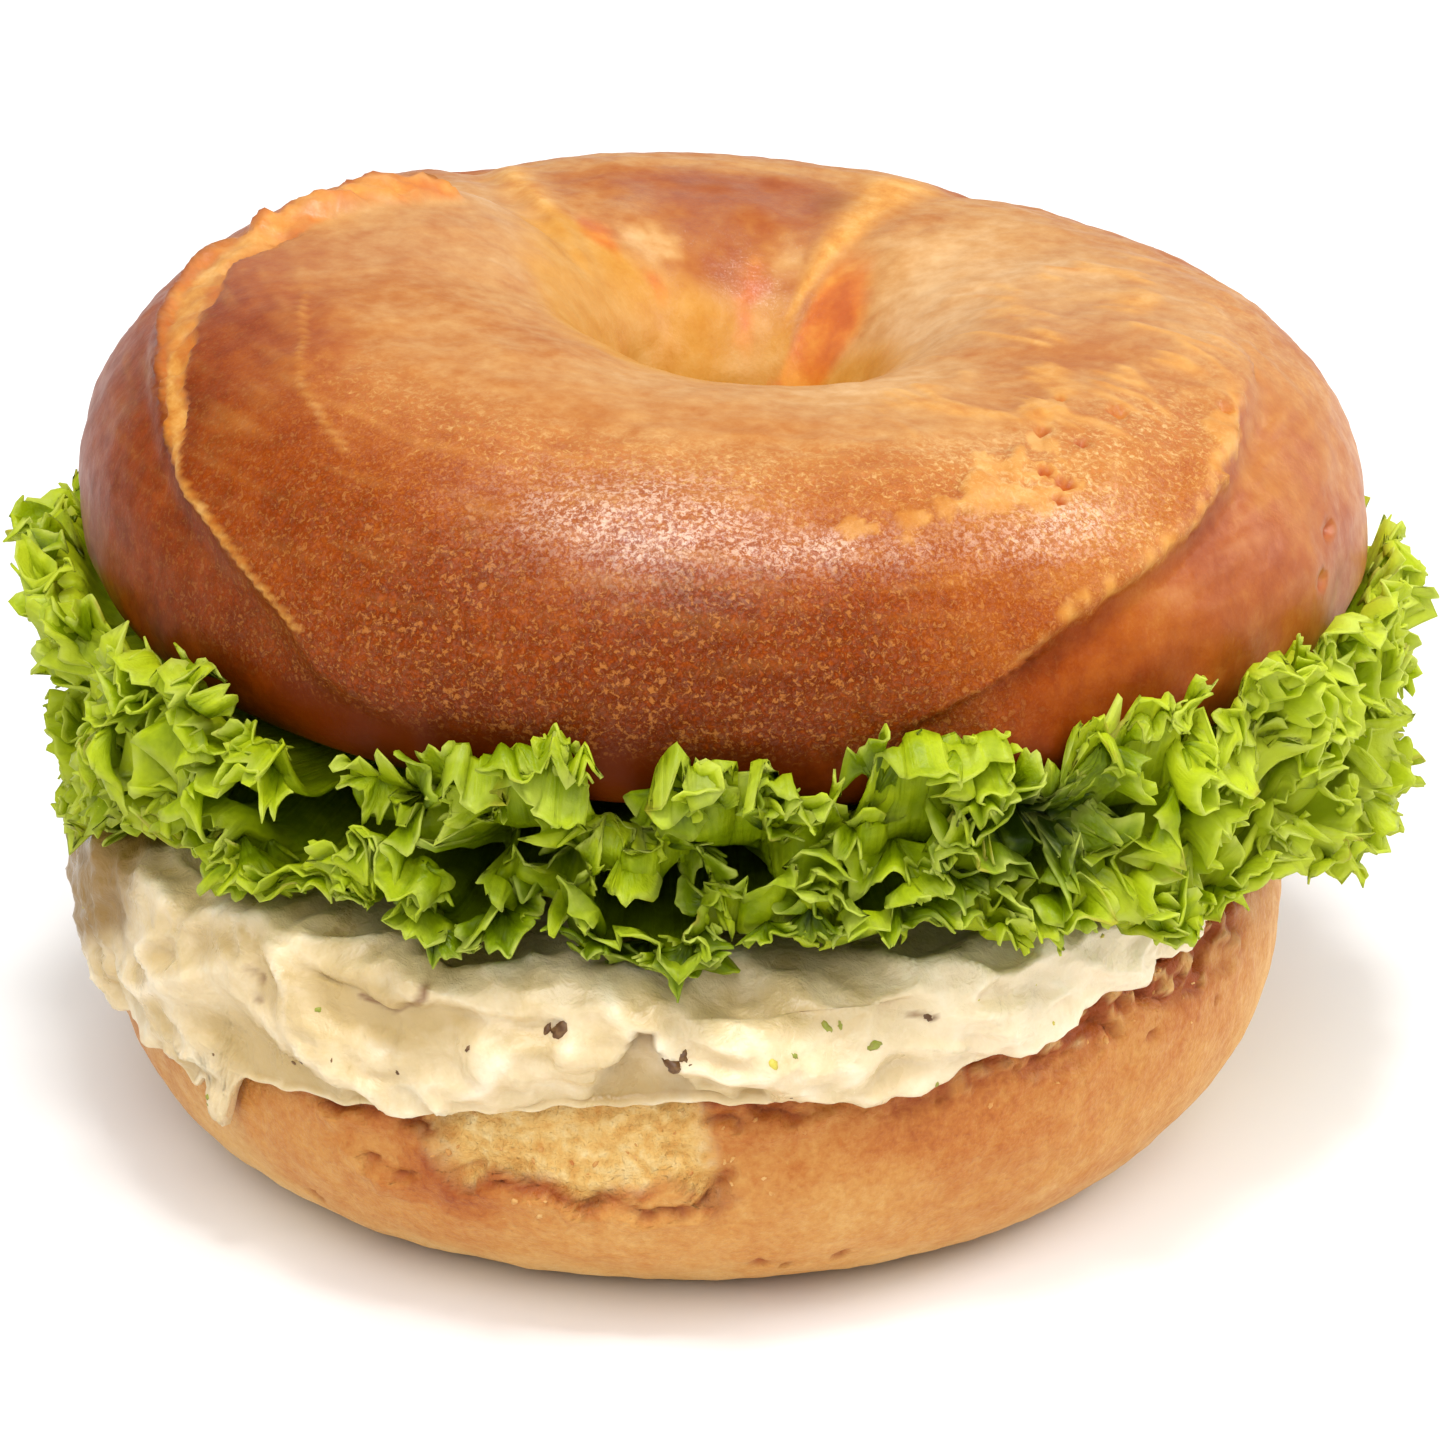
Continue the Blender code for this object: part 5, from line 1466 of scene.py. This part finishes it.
def make_leaf(name, leaf, look):
    """A thin ruffled leaf with frills, lobes and teeth along its edge."""
    u = np.linspace(0, 1, LEAF_COLUMNS)[:, None]
    t = np.concatenate([np.linspace(0, 0.45, 5)[:-1], np.linspace(0.45, 1, 16)])[None, :]
    u, t = np.broadcast_arrays(u, t)
    points = np.stack(leaf_sheet(leaf, u, t), axis=-1)
    points = frilled(points, t, FRILLS, leaf["seed"] + 300)
    along = travelled(points[:, -1])[:, None]
    points = frilled(points, t, CURLS, leaf["seed"] + 400)
    arc = travelled(points[:, -1])
    tooth = teeth(arc, leaf["seed"] + 500)[:, None]
    out = unit(points[:, -1] - points[:, -5])[:, None]
    edge_at = np.stack([arc, 0 * arc, 0 * arc], axis=-1)
    root = TOOTH_ROOT * (1 + 1.3 * noise(edge_at, 9, leaf["seed"] + 700))[:, None]
    move = TOOTH_HEIGHT * tooth * smooth(0.8, 1, t) ** 1.5 - root * smooth(0.5, 1, t)
    points = points + out * move[..., None]
    points = kept_between(points, False)
    grid, faces = thick_sheets(points[None], t[None])
    fans, fan_edge, fan_tone = lobes(points, leaf)
    fan_grid, fan_faces = thick_sheets(fans, fan_edge)

    def joined(main, fan):
        """Numbers for both sides of the leaf and of its lobes."""
        parts = np.broadcast_to(main, t.shape)[None], np.broadcast_to(fan, fan_edge.shape)
        return np.concatenate([np.repeat(part[:, None], 2, axis=1).ravel() for part in parts])

    fan_along = 7 * np.arange(LOBES)[:, None, None] + np.linspace(0, 14, LOBE_COLUMNS)[None, :, None]
    heading = np.arctan2(points[..., 1], points[..., 0])
    marks = {
        "edge": joined(t, fan_edge), "tip": joined(smooth(0.87, 1, t), smooth(0.8, 1, fan_edge)),
        "tone": joined(leaf_tone(heading, points) - 0.06 * near(heading, -95, 0.55), fan_tone),
        "along": joined(along * MM, fan_along * MM),
        "out": joined(LEAF_BORDER * 0.3 * (1 - t) * MM, 3 * (1 - fan_edge) * MM),
    }
    parts = [faces, fan_faces + len(grid)]
    add_piece(name + "_leaf", np.vstack([grid, fan_grid]), parts, marks, look, name)


def make_lettuce():
    """All the leaves, the lower ones a little darker as painted shade under the upper ones."""
    lower = leaf_look("lettuce_lower", (44, 62, 0), (140, 164, 0), (208, 222, 20))
    upper = leaf_look("lettuce_upper", (52, 74, 0), (152, 174, 0), (214, 228, 30))
    for name, leaf in LEAVES.items():
        make_leaf(name, leaf, upper if leaf["layer"] else lower)


# The camera looks at this point from this far, in metres, this many degrees above level
LOOK_AT = (-MIDDLE_X * MM, -MIDDLE_Y * MM, 0.036)
CAMERA_AWAY = 0.43
CAMERA_ABOVE = 24
# Size of the photograph's frame, where that point is in it, and its scale there in pixels per millimetre
FRAME_PIXELS = 1440
LOOK_PIXEL = (706, 680)
PIXELS_PER_MM = 11.4
SENSOR = 36
# The floor's half width, the surround's strength, and the point that the lights are aimed at
FLOOR_HALF = 3
SURROUND = 0.5
LIT_POINT = (0, 0, 0.04)


def aim(thing, way):
    """Point a camera or a light in a direction."""
    thing.rotation_euler = way.to_track_quat("-Z", "Y").to_euler()


def make_camera():
    """The camera at the photograph's angle."""
    data = bpy.data.cameras.new("camera")
    camera = add("camera", data)
    rise = math.radians(CAMERA_ABOVE)
    back = Vector((0, -math.cos(rise), math.sin(rise)))
    camera.location = Vector(LOOK_AT) + CAMERA_AWAY * back
    aim(camera, -back)
    data.sensor_width = SENSOR
    data.lens = SENSOR * PIXELS_PER_MM * CAMERA_AWAY / MM / FRAME_PIXELS
    data.shift_x = (0.5 * FRAME_PIXELS - LOOK_PIXEL[0]) / FRAME_PIXELS
    data.shift_y = (LOOK_PIXEL[1] - 0.5 * FRAME_PIXELS) / FRAME_PIXELS
    data.clip_start = 0.01
    bpy.context.scene.camera = camera


def add_light(name, place, size, power):
    """A square soft light aimed at the sandwich."""
    data = bpy.data.lights.new(name, "AREA")
    data.size = size
    data.energy = power
    light = add(name, data)
    light.location = place
    aim(light, Vector(LIT_POINT) - Vector(place))


def make_stage():
    """Pale floor, plain soft lights and a pale surround."""
    mesh = bpy.data.meshes.new("floor")
    corners = [(x * FLOOR_HALF, y * FLOOR_HALF, 0) for x, y in ((-1, -1), (1, -1), (1, 1), (-1, 1))]
    mesh.from_pydata(corners, [], [(0, 1, 2, 3)])
    floor = add("floor", mesh)
    look = Look("floor")
    look.set(Base_Color=look.mix(look.noise(60), (236, 236, 236), (240, 240, 240)), Roughness=0.8)
    mesh.materials.append(look.material)
    world = bpy.data.worlds.new("surround")
    world.use_nodes = True
    background = world.node_tree.nodes["Background"]
    background.inputs["Color"].default_value = (1, 1, 1, 1)
    background.inputs["Strength"].default_value = SURROUND
    bpy.context.scene.world = world
    add_light("key", (0, -0.24, 0.97), 0.16, 4.2)
    add_light("right", (0.75, 0.1, 0.45), 0.4, 4)
    daylight = bpy.data.lights.new("daylight", "SUN")
    daylight.energy = 1.9
    daylight.angle = math.radians(45)
    aim(add("daylight", daylight), Vector((0.15, 0.75, -1)))
    bpy.context.scene.view_settings.view_transform = "Standard"


make_camera()
make_stage()
make_crumbs(*make_heel())
make_specks(*make_filling())
make_lettuce()
make_crown()
